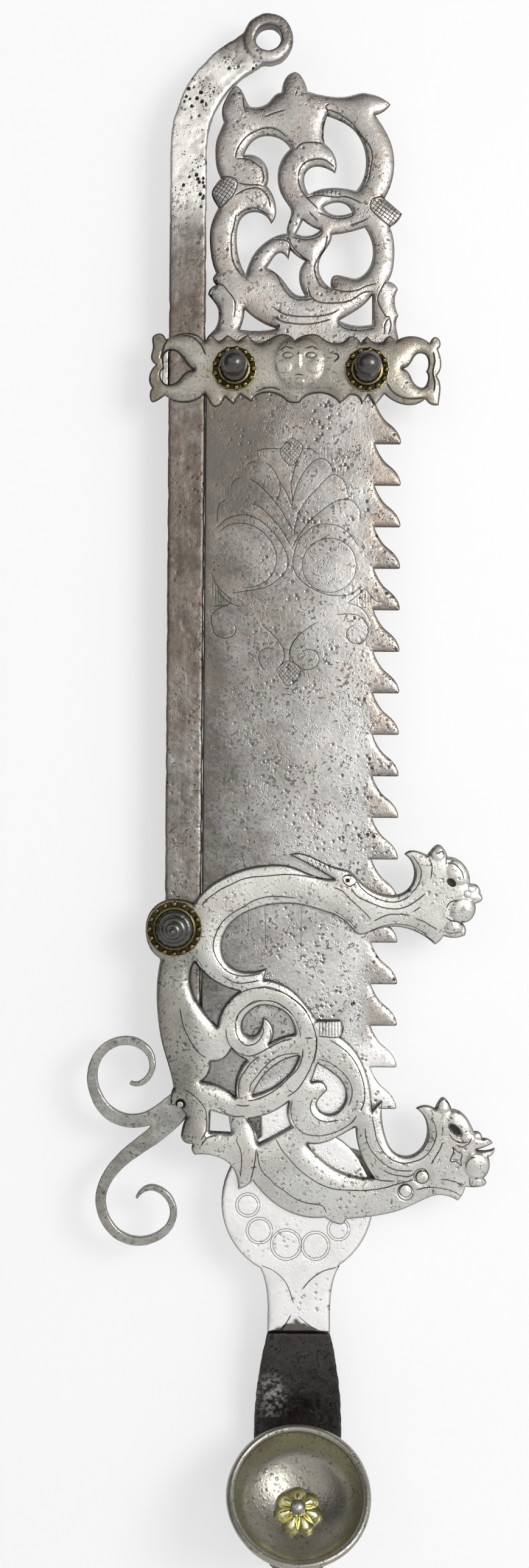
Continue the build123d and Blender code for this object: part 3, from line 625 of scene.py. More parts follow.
@dataclass(frozen=True)
class Cut:
    """One engraved line: a groove with a V section that dies out at its ends."""

    line: np.ndarray
    half_width: float = 0.5 * MM
    depth: float = 0.35 * MM
    fade: float = 2.0 * MM

    def widths(self) -> np.ndarray:
        """Give the half width at each of the line's places."""
        along = np.concatenate([[0], np.cumsum(np.linalg.norm(np.diff(self.line, axis=0), axis=1))])
        from_end = np.minimum(along, along[-1] - along)
        return self.half_width * np.clip(0.35 + from_end / self.fade, 0, 1)

    def sides(self) -> np.ndarray:
        """Give the places on both lips of the groove."""
        tangent = np.gradient(self.line, axis=0)
        length = np.maximum(np.linalg.norm(tangent, axis=1, keepdims=True), 1e-9)
        across = np.column_stack([-tangent[:, 1], tangent[:, 0]]) / length * self.widths()[:, None]
        return np.vstack([self.line + across, self.line - across])


@dataclass(frozen=True)
class Boss:
    """A round raised or sunk form on a plate: a ball, an eye, a ring or a flush rivet."""

    centre: Tuple[float, float]
    radius: float
    rise: float
    moat: float = 0.0
    stretch: float = 1.0
    turn: float = 0.0

    def part(self, places: np.ndarray) -> np.ndarray:
        """Give how far out each place is: 0 in the middle, 1 on the form's rim."""
        away = places - np.array(self.centre)
        cos, sin = math.cos(self.turn), math.sin(self.turn)
        across = (away[:, 1] * cos - away[:, 0] * sin) * self.stretch
        return np.hypot(away[:, 0] * cos + away[:, 1] * sin, across) / self.radius

    def ditch(self, places: np.ndarray) -> np.ndarray:
        """Give the ditch round the form, from 0 to 1 where it is deepest."""
        return np.exp(-((self.part(places) - 1.08) / 0.16) ** 2)

    def height(self, places: np.ndarray) -> np.ndarray:
        """Give how far the form stands above the plate at these places."""
        ball = np.sqrt(np.clip(1 - self.part(places) ** 2, 0, 1)) * self.rise
        return ball - self.moat * self.ditch(places)

    def shade(self, places: np.ndarray) -> np.ndarray:
        """Give how dark the form's hollows are: its ditch, or all of a sunk form."""
        if self.rise < 0:
            return np.clip(4 - 4 * self.part(places), 0, 1)
        return self.ditch(places) * min(1.0, self.moat / (0.5 * MM))

    def rings(self) -> np.ndarray:
        """Give mesh places on rings over the form."""
        places = [np.array([self.centre])]
        cos, sin = math.cos(self.turn), math.sin(self.turn)
        for part in (0.3, 0.55, 0.75, 0.9, 1.0, 1.12, 1.3):
            angles = np.linspace(0, 2 * math.pi, max(10, int(34 * part)), endpoint=False)
            along, across = np.cos(angles), np.sin(angles) / self.stretch
            ring = np.column_stack([along * cos - across * sin, along * sin + across * cos])
            places.append(ring * self.radius * part + np.array(self.centre))
        return np.vstack(places)


@dataclass(frozen=True)
class EdgeForm:
    """How a plate's front falls away to its edge at a set of places."""

    reach: np.ndarray
    drop: np.ndarray
    power: np.ndarray
    swell: np.ndarray
    proud: np.ndarray


class SwellField:
    """A soft field over a plate: 0 at its edge, rising to 1 where it is wide."""

    def __init__(self, loops: Sequence[np.ndarray], reach: float, step: float = 0.7 * MM) -> None:
        """Relax the field over a grid.

        Args:
            loops: the plate's outline and holes.
            reach: how far in from an edge the field has mostly risen.
            step: the grid's spacing.
        """
        everything = np.vstack(loops)
        self.step = step
        self.low = everything.min(axis=0) - 3 * step
        size = ((everything.max(axis=0) + 3 * step - self.low) / step).astype(int) + 1
        number_x, number_z = np.meshgrid(np.arange(size[0]), np.arange(size[1]), indexing="ij")
        places = np.column_stack([number_x.ravel(), number_z.ravel()]) * step + self.low
        mask = inside(places, loops).reshape(size)
        self.field = np.zeros(size)
        pull = (step / reach) ** 2
        for _ in range(int(5 * (reach / step) ** 2)):
            total = (np.roll(self.field, 1, 0) + np.roll(self.field, -1, 0)
                     + np.roll(self.field, 1, 1) + np.roll(self.field, -1, 1))
            self.field = mask * (total + pull) / (4 + pull)

    def at(self, places: np.ndarray) -> np.ndarray:
        """Give the field at these places."""
        grid = np.clip((places - self.low) / self.step, 0, np.array(self.field.shape) - 1.001)
        corner = grid.astype(int)
        part = grid - corner
        i, j = corner.T
        u, v = part.T
        return ((self.field[i, j] * (1 - u) + self.field[i + 1, j] * u) * (1 - v)
                + (self.field[i, j + 1] * (1 - u) + self.field[i + 1, j + 1] * u) * v)


def chained(edges: Iterable[Tuple[int, int]]) -> List[List[int]]:
    """Chain directed edges into closed loops of point numbers."""
    after: Dict[int, List[int]] = {}
    for start, end in edges:
        after.setdefault(start, []).append(end)
    loops = []
    while after:
        first = next(iter(after))
        loop, here = [], first
        while here in after:
            loop.append(here)
            following = after[here].pop()
            if not after[here]:
                del after[here]
            here = following
        loops.append(loop)
    return loops


def border(triangles: np.ndarray) -> List[Tuple[int, int]]:
    """Give the directed edges that only one triangle has."""
    edges = np.vstack([triangles[:, [0, 1]], triangles[:, [1, 2]], triangles[:, [2, 0]]])
    size = int(edges.max()) + 1
    key = edges[:, 0].astype(np.int64) * size + edges[:, 1]
    back = edges[:, 1].astype(np.int64) * size + edges[:, 0]
    return [tuple(int(v) for v in edge) for edge in edges[~np.isin(key, back)]]


def inside(places: np.ndarray, loops: Sequence[np.ndarray]) -> np.ndarray:
    """Tell which places lie inside the loops, by counting crossings.

    Args:
        places: X and Z on each row.
        loops: closed outlines; holes are loops too.

    Returns:
        True for each place that is inside.
    """
    order = np.argsort(places[:, 1])
    height = places[order, 1]
    across = places[order, 0]
    odd = np.zeros(len(places), bool)
    for loop in loops:
        for (x0, z0), (x1, z1) in zip(loop, np.roll(loop, -1, axis=0)):
            low, high = np.searchsorted(height, sorted((z0, z1)))
            if low < high:
                cross = x0 + (height[low:high] - z0) / (z1 - z0) * (x1 - x0)
                odd[low:high] ^= across[low:high] < cross
    result = np.zeros(len(places), bool)
    result[order] = odd
    return result


def refined(loop: np.ndarray, step: float) -> np.ndarray:
    """Split a loop's long edges so that none is longer than the step."""
    parts = []
    for start, end in zip(loop, np.roll(loop, -1, axis=0)):
        count = max(1, int(math.ceil(np.linalg.norm(end - start) / step)))
        parts.append(start + (end - start) * (np.arange(count) / count)[:, None])
    return np.vstack(parts)


def inward(loop: np.ndarray) -> np.ndarray:
    """Give the unit direction into the material at each place of a loop."""
    ahead = np.roll(loop, -1, axis=0) - loop
    ahead /= np.maximum(np.linalg.norm(ahead, axis=1, keepdims=True), 1e-9)
    tangent = ahead + np.roll(ahead, 1, axis=0)
    tangent /= np.maximum(np.linalg.norm(tangent, axis=1, keepdims=True), 1e-9)
    return np.column_stack([-tangent[:, 1], tangent[:, 0]])


class Nearest:
    """Finds the nearest of many places in the plate's plane."""

    def __init__(self, places: np.ndarray) -> None:
        """Build the search tree."""
        self.tree = kdtree.KDTree(max(1, len(places)))
        for number, (x, z) in enumerate(places):
            self.tree.insert((x, z, 0.0), number)
        self.tree.balance()

    def find(self, places: np.ndarray) -> Tuple[np.ndarray, np.ndarray]:
        """Give the distance to, and the number of, the nearest place for each row."""
        found = [self.tree.find((x, z, 0.0)) for x, z in places]
        return np.array([f[2] for f in found]), np.array([f[1] for f in found])


@dataclass
class ReliefPlate(Placed):
    """A plate with a worked front: rounded or hollowed edges, engraving and bosses."""

    edge_form: Callable[[np.ndarray], EdgeForm] = None
    fine_area: Callable[[np.ndarray], np.ndarray] = None
    cuts: List[Cut] = field(default_factory=list)
    bosses: List[Boss] = field(default_factory=list)
    fine_step: float = 0.8 * MM
    coarse_step: int = 4
    back_reach: float = 1.1 * MM
    back_drop: float = 0.6 * MM
    swell_reach: float = 5.0 * MM

    def build(self) -> bpy.types.Object:
        """Make the front skin, the edge walls and the back skin.

        Returns:
            The placed plate.
        """
        low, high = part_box(self.node)
        self.front, self.back = low.y, high.y
        self.loops = [refined(loop, 0.8 * MM) for loop in self.outline()]
        self.edge_tree = Nearest(np.vstack([refined(loop, 0.25 * MM) for loop in self.loops]))
        self.swell = SwellField(self.loops, self.swell_reach)
        self.place_cuts()
        places, faces = self.front_skin()
        rim = border(faces)
        height, groove, edge = self.surface(places)
        points = np.column_stack([places[:, 0], self.front - height, places[:, 1]])
        back_places, back_faces, back_rim = self.back_skin(places, rim)
        distance = self.edge_tree.find(back_places)[0]
        fall = self.back_drop * np.clip(1 - distance / self.back_reach, 0, 1) ** 2
        back_points = np.column_stack([back_places[:, 0], self.back - fall, back_places[:, 1]])
        shift = len(points)
        walls = [(a, back_rim[a] + shift, back_rim[b] + shift, b) for a, b in rim]
        all_faces = [tuple(f) for f in faces] + [tuple(int(v) + shift for v in f[::-1]) for f in back_faces] + walls
        everything = np.vstack([points, back_points])
        # Painted shade on the side walls, from the back's rim, carried in the groove value.
        rim_shade = 0.85 * np.clip(1 - distance / (0.6 * MM), 0, 1)
        values = {"groove": np.concatenate([groove, rim_shade]),
                  "edge": np.concatenate([edge, np.zeros(len(back_points))]), **self.patina_and_shade(everything)}
        return self.put(make_piece(self.name, everything, all_faces, self.finish, values))

    def outline(self) -> List[np.ndarray]:
        """Give the loops round the CAD node's flat front, in order round the material."""
        mesh = welded(self.node)
        places = mesh_points(mesh)
        flat = places[:, 1] < self.front + 0.01 * MM
        triangles = np.array([p.vertices[:] for p in mesh.polygons if len(p.vertices) == 3])
        triangles = triangles[flat[triangles].all(axis=1)]
        first, second, third = (places[triangles[:, k]][:, [0, 2]] for k in range(3))
        turn = (second - first)[:, 0] * (third - first)[:, 1] - (second - first)[:, 1] * (third - first)[:, 0]
        triangles = np.where((turn > 0)[:, None], triangles, triangles[:, ::-1])
        bpy.data.meshes.remove(mesh)
        return [places[loop][:, [0, 2]] for loop in chained(border(triangles))]

    def place_cuts(self) -> None:
        """Gather every engraved line's places, widths and depths."""
        self.cut_places = np.vstack([cut.line for cut in self.cuts]) if self.cuts else np.zeros((1, 2)) + 9
        self.cut_widths = np.concatenate([cut.widths() for cut in self.cuts]) if self.cuts else np.ones(1)
        depths = [np.full(len(cut.line), cut.depth / cut.half_width) for cut in self.cuts]
        self.cut_slopes = np.concatenate(depths) if depths else np.ones(1)
        self.cut_tree = Nearest(self.cut_places)

    def grid(self) -> np.ndarray:
        """Give the inner mesh places: close together where the work is fine."""
        everything = np.vstack(self.loops)
        low, high = everything.min(axis=0), everything.max(axis=0)
        columns = np.arange(low[0], high[0], self.fine_step)
        rows = np.arange(low[1], high[1], self.fine_step * 0.87)
        number_x, number_z = np.meshgrid(np.arange(len(columns)), np.arange(len(rows)))
        odd = (number_z // 1 % 2) * self.fine_step / 2
        places = np.column_stack([(columns[number_x] + odd).ravel(), rows[number_z].ravel()])
        sparse = ((number_x % self.coarse_step == 0) & (number_z % self.coarse_step == 0)).ravel()
        places = places[sparse | self.fine_area(places)]
        places = places[inside(places, self.loops)]
        return places[self.edge_tree.find(places)[0] > 0.45 * self.fine_step]

    def edge_rings(self) -> np.ndarray:
        """Give mesh places along the edges, at set distances in from them."""
        rings = []
        for loop in self.loops:
            into = inward(loop)
            form = self.edge_form(loop)
            for part in (0.14, 0.36, 0.65, 1.0):
                away = form.reach * part
                ring = loop + into * away[:, None]
                distance = self.edge_tree.find(ring)[0]
                rings.append(ring[distance > away * 0.93 - 0.03 * MM])
        places = np.vstack(rings)
        return places[inside(places, self.loops)]

    def front_skin(self) -> Tuple[np.ndarray, np.ndarray]:
        """Mesh the front over its outline, edge rings, engraving and bosses.

        Returns:
            Places in the plane, and triangles.
        """
        loose = np.vstack([self.grid(), self.edge_rings()])
        distance, number = self.cut_tree.find(loose)
        loose = loose[distance > self.cut_widths[number] * 1.2]
        extra = [cut.sides() for cut in self.cuts] + [boss.rings() for boss in self.bosses]
        if extra:
            worked = np.vstack(extra)
            worked = worked[inside(worked, self.loops)]
            loose = np.vstack([loose, worked[self.edge_tree.find(worked)[0] > 0.25 * MM]])
        places, edges = [], []
        for loop in self.loops:
            start = sum(len(p) for p in places)
            edges += [(start + k, start + (k + 1) % len(loop)) for k in range(len(loop))]
            places.append(loop)
        for cut in self.cuts:
            start = sum(len(p) for p in places)
            keep = inside(cut.line, self.loops) & (self.edge_tree.find(cut.line)[0] > 0.2 * MM)
            numbers = np.cumsum(keep) - 1
            edges += [(start + int(numbers[k]), start + int(numbers[k + 1]))
                      for k in range(len(keep) - 1) if keep[k] and keep[k + 1]]
            places.append(cut.line[keep])
        places.append(loose)
        return triangulated(np.vstack(places), edges, self.loops)

    def back_skin(self, places: np.ndarray, rim: Sequence[Tuple[int, int]]
                  ) -> Tuple[np.ndarray, np.ndarray, Dict[int, int]]:
        """Mesh the back over the front's rim, with a softened edge.

        Args:
            places: the front's places.
            rim: the front's border edges.

        Returns:
            Places, triangles, and each rim point's number in the back skin.
        """
        numbers = sorted({v for edge in rim for v in edge})
        place_of = {v: k for k, v in enumerate(numbers)}
        edges = [(place_of[a], place_of[b]) for a, b in rim]
        rings = np.vstack([loop + inward(loop) * self.back_reach for loop in self.loops])
        rings = rings[self.edge_tree.find(rings)[0] > self.back_reach * 0.93]
        rings = rings[inside(rings, self.loops)]
        everything = np.vstack([places[numbers], rings])
        made, faces = triangulated(everything, edges, self.loops)
        lookup = Nearest(made)
        found = lookup.find(places[numbers])[1]
        return made, faces, {v: int(found[k]) for v, k in place_of.items()}

    def surface(self, places: np.ndarray) -> Tuple[np.ndarray, np.ndarray, np.ndarray]:
        """Work out the front's relief.

        Args:
            places: X and Z on each row.

        Returns:
            The height over the plate's flat front, how deep in a groove together with the bosses' painted shade, and
            how near an edge, for a painted dark outline.
        """
        form = self.edge_form(places)
        distance = self.edge_tree.find(places)[0]
        part = np.clip(1 - distance / form.reach, 0, 1)
        near = 1 - np.exp(-distance / self.swell_reach)
        blend = np.clip((distance - 0.6 * MM) / (1.2 * MM), 0, 1)
        risen = near * (1 - blend) + self.swell.at(places) * blend
        height = form.proud - form.drop * part ** form.power - form.swell * (1 - risen)
        away, number = self.cut_tree.find(places)
        slope = self.cut_slopes[number]
        inside_cut = np.clip(1 - away / self.cut_widths[number], 0, 1)
        height -= inside_cut * self.cut_widths[number] * slope
        inside_cut = np.where(slope > 0, inside_cut, 0)
        groove = inside_cut ** 0.7
        for boss in self.bosses:
            height += boss.height(places)
            groove = np.maximum(groove, boss.shade(places))
        # Painted shade: a dark outline along every edge, through the edge value.
        edge = np.clip(1 - distance / (1.4 * MM), 0, 1)
        return height, groove, edge


def triangulated(places: np.ndarray, edges: Sequence[Tuple[int, int]], loops: Sequence[np.ndarray]
                 ) -> Tuple[np.ndarray, np.ndarray]:
    """Join places into triangles that keep to the outline.

    Args:
        places: X and Z on each row, in metres.
        edges: pairs of places that stay joined.
        loops: the outline.

    Returns:
        Places and triangles.
    """
    flat = [Vector((x / MM, z / MM)) for x, z in places]
    found = geometry.delaunay_2d_cdt(flat, list(edges), [], 0, 1e-4)
    made = np.array([tuple(v) for v in found[0]]) * MM
    faces = np.array([tuple(f) for f in found[2]])
    corners = made[faces]
    faces = faces[inside(corners.mean(axis=1), loops)]
    used = np.unique(faces)
    number = np.full(len(made), -1)
    number[used] = np.arange(len(used))
    return made[used], number[faces]


def hatched(corners: Stroke, angle: float, gap: float) -> List[Stroke]:
    """Fill a polygon with straight strokes.

    Args:
        corners: the polygon on the photograph.
        angle: the strokes' direction in degrees.
        gap: the pixels between them.

    Returns:
        The strokes, clipped to the polygon.
    """
    shape = np.array(corners, float)
    along = np.array([math.cos(math.radians(angle)), math.sin(math.radians(angle))])
    across = np.array([-along[1], along[0]])
    reach = shape @ across
    strokes = []
    for level in np.arange(reach.min() + gap / 2, reach.max(), gap):
        hits = []
        for start, end in zip(shape, np.roll(shape, -1, axis=0)):
            first, second = start @ across - level, end @ across - level
            if first * second < 0:
                hits.append(float((start + (end - start) * first / (first - second)) @ along))
        hits.sort()
        for low, high in zip(hits[::2], hits[1::2]):
            if high - low > 2:
                strokes.append([tuple(along * low + across * level), tuple(along * high + across * level)])
    return strokes


def cuts_on(plane: PhotoPlane, strokes: Iterable[Stroke], half_width: float = 0.5 * MM,
            depth: float = 0.35 * MM) -> List[Cut]:
    """Turn strokes on the photograph into engraved lines of one width and depth."""
    return [Cut(plane.line(stroke), half_width, depth) for stroke in strokes]


# Engraved lines, as places on the photograph

CREST_LINES: List[Stroke] = [
    [(387, 261), (388, 250), (395, 236), (408, 222), (428, 212), (444, 210), (457, 214), (470, 224)],
    [(387, 261), (407, 261), (422, 270), (430, 277), (433, 290), (431, 301)],
    [(391, 301), (407, 304), (429, 304)],
    [(347, 315), (362, 291), (388, 296), (384, 318), (365, 338), (357, 337), (347, 315)],
    [(386, 321), (403, 312), (422, 309), (433, 314), (441, 325), (444, 340)],
    [(539, 180), (555, 186), (577, 201), (594, 223), (607, 240), (611, 258), (608, 277), (606, 290), (601, 302)],
    [(490, 290), (493, 277), (503, 266), (520, 261), (535, 263), (549, 273)],
    [(490, 292), (491, 301), (496, 314), (509, 330), (522, 343)],
    [(485, 245), (496, 236), (516, 234), (531, 235)],
    [(502, 325), (520, 320), (549, 323), (570, 323), (594, 334)],
    [(610, 327), (633, 324), (662, 349), (655, 361), (642, 371), (610, 345), (610, 327)],
    [(541, 170), (535, 175), (539, 187), (532, 201), (530, 210), (532, 214), (529, 223), (532, 231)],
    [(485, 157), (488, 149)],
    [(399, 156), (400, 170), (403, 182), (410, 182)],
    [(434, 192), (450, 186), (468, 181)],
    [(388, 352), (384, 372), (380, 389), (381, 422), (389, 442), (400, 454)],
    [(389, 355), (400, 346), (416, 341), (431, 346), (442, 352)],
    [(351, 464), (365, 468), (374, 479), (384, 492), (386, 507), (384, 522)],
    [(450, 392), (466, 394), (474, 398), (477, 411), (474, 422)],
    [(440, 444), (453, 448), (461, 464), (470, 479), (483, 490), (501, 492), (511, 491)],
    [(538, 386), (534, 405), (525, 420), (517, 435), (518, 450), (525, 466), (535, 474)],
    [(506, 474), (511, 488), (525, 497), (553, 498), (575, 494), (596, 481), (612, 479)],
    [(547, 474), (564, 479), (586, 477), (601, 470), (618, 466)],
    [(448, 505), (466, 516), (488, 520), (520, 520), (542, 516), (557, 509)],
    [(448, 520), (466, 529), (496, 533), (520, 531), (542, 525)],
    [(481, 389), (501, 393), (520, 389), (531, 381)],
    [(474, 389), (479, 403), (488, 413), (501, 424), (509, 429)],
    [(634, 461), (625, 477), (620, 492), (627, 509), (634, 520), (640, 520)],
    [(639, 522), (632, 533), (631, 549)],
    [(640, 522), (642, 535), (638, 549)],
    [(553, 527), (564, 538), (586, 542), (614, 539)],
    [(394, 542), (422, 543), (444, 540)],
    [(523, 349), (531, 352), (553, 358), (575, 355), (580, 350)],
    [(507, 348), (522, 363)],
    [(575, 370), (596, 363), (605, 359)],
]
CREST_LOZENGES: List[Stroke] = [
    [(347, 315), (362, 291), (388, 296), (384, 318), (365, 338), (357, 337)],
    [(610, 327), (633, 324), (662, 349), (655, 361), (642, 371), (610, 345)],
]
CREST_LIP: Stroke = [(514, 310), (562, 310), (562, 321), (514, 320)]
PALMETTE_LINES: List[Stroke] = [
    [(480, 718), (497, 736), (479, 765), (460, 742), (480, 718)],
    [(480, 718), (481, 713)],
    [(421, 741), (440, 737), (460, 738)],
    [(405, 765), (412, 760), (421, 759)],
    [(379, 802), (384, 791), (395, 784)],
    [(498, 737), (487, 760), (481, 782), (478, 799), (480, 817), (480, 833)],
    [(498, 737), (511, 738), (522, 747)],
    [(480, 826), (484, 810), (489, 795), (500, 775), (513, 760), (524, 754), (535, 756), (545, 767), (547, 779)],
    [(483, 879), (485, 863), (491, 843), (504, 821), (522, 802), (537, 786), (548, 780), (561, 786), (569, 799),
     (570, 813)],
    [(480, 900), (491, 880), (509, 856), (526, 841), (544, 828), (561, 821), (576, 822), (587, 832), (592, 845),
     (590, 856)],
    [(589, 898), (576, 880), (561, 867), (544, 862), (526, 862), (509, 869), (491, 887), (483, 911), (481, 928),
     (487, 945), (500, 959), (517, 969), (537, 977), (559, 979), (576, 976), (592, 965)],
    [(437, 760), (450, 773), (459, 791), (472, 813), (479, 832)],
    [(459, 791), (460, 808), (454, 823)],
    [(410, 787), (424, 796), (437, 808), (450, 823), (461, 837), (469, 852), (480, 869)],
    [(414, 827), (428, 834), (445, 850), (461, 869), (472, 887), (477, 896)],
    [(357, 859), (357, 845), (360, 830), (371, 821)],
    [(360, 874), (374, 864), (395, 860), (417, 865), (435, 878), (448, 895), (454, 915), (451, 935), (439, 953),
     (421, 963), (402, 966)],
    [(356, 868), (374, 852), (400, 846), (421, 852), (439, 865), (456, 884), (469, 906), (473, 922), (469, 939),
     (452, 956), (432, 966), (387, 974)],
    [(348, 944), (358, 964), (379, 990), (349, 997)],
    [(357, 964), (363, 979), (379, 991), (394, 997)],
    [(571, 991), (586, 979), (599, 968), (607, 977), (617, 987), (627, 990)],
    [(571, 991), (586, 995), (599, 1005), (608, 1020)],
    [(376, 995), (361, 999), (348, 1011), (348, 1026), (353, 1041), (368, 1049), (383, 1044), (388, 1033),
     (385, 1026)],
    [(553, 1010), (574, 1009), (591, 1013), (603, 1028), (604, 1041), (597, 1054), (584, 1058), (572, 1051),
     (569, 1041), (574, 1031), (583, 1027)],
    [(430, 1026), (445, 1040), (458, 1054), (466, 1069), (466, 1085), (459, 1095)],
    [(450, 1067), (438, 1065), (427, 1072), (425, 1083), (430, 1096), (435, 1101)],
    [(520, 1023), (504, 1033), (489, 1046), (479, 1061), (477, 1077), (484, 1090), (497, 1099), (509, 1100),
     (520, 1094), (524, 1083), (520, 1072), (507, 1067), (495, 1071)],
    [(495, 1040), (484, 1051), (476, 1067), (475, 1079), (477, 1088)],
    [(453, 1100), (473, 1127), (494, 1103), (474, 1086), (453, 1100)],
]
PALMETTE_PATCHES: List[Stroke] = [
    [(421, 741), (439, 741), (438, 747), (423, 757)],
    [(390, 767), (405, 766), (403, 782), (391, 778)],
    [(362, 804), (377, 802), (381, 816), (370, 820)],
    [(520, 744), (539, 737), (539, 751), (523, 749)],
    [(547, 769), (570, 769), (561, 784), (546, 778)],
    [(571, 806), (583, 808), (582, 822), (570, 818)],
    [(348, 946), (357, 965), (374, 988), (350, 995)],
    [(573, 991), (599, 971), (615, 987), (599, 996)],
]
PALMETTE_LOZENGES: List[Stroke] = [
    [(480, 718), (497, 736), (479, 765), (460, 742)],
    [(453, 1100), (473, 1127), (494, 1103), (474, 1086)],
]
NECK_LINES: List[Stroke] = [
    [(428, 2078), (450, 2088), (470, 2108), (482, 2140)],
    [(558, 2080), (530, 2088), (510, 2102), (496, 2118)],
    [(445, 2194), (463, 2183), (478, 2160)],
    [(493, 2165), (515, 2182), (541, 2194)],
]
DISC_CIRCLES: List[Tuple[Pixel, float]] = [
    ((407, 1979), 20), ((426, 2021), 22), ((470, 2044), 26), ((518, 2046), 24), ((556, 2019), 19),
]
SCRATCHES: List[Stroke] = [
    [(408, 1504), (408, 1525)], [(435, 1490), (437, 1560)], [(495, 1490), (494, 1560)],
]
PALMETTE_RING: Tuple[Pixel, float] = ((541, 929), 44.5)
PUNCHED_DOTS: List[Pixel] = [
    (471, 702), (482, 703), (495, 703), (352, 924), (359, 930), (352, 936), (473, 1131),
]
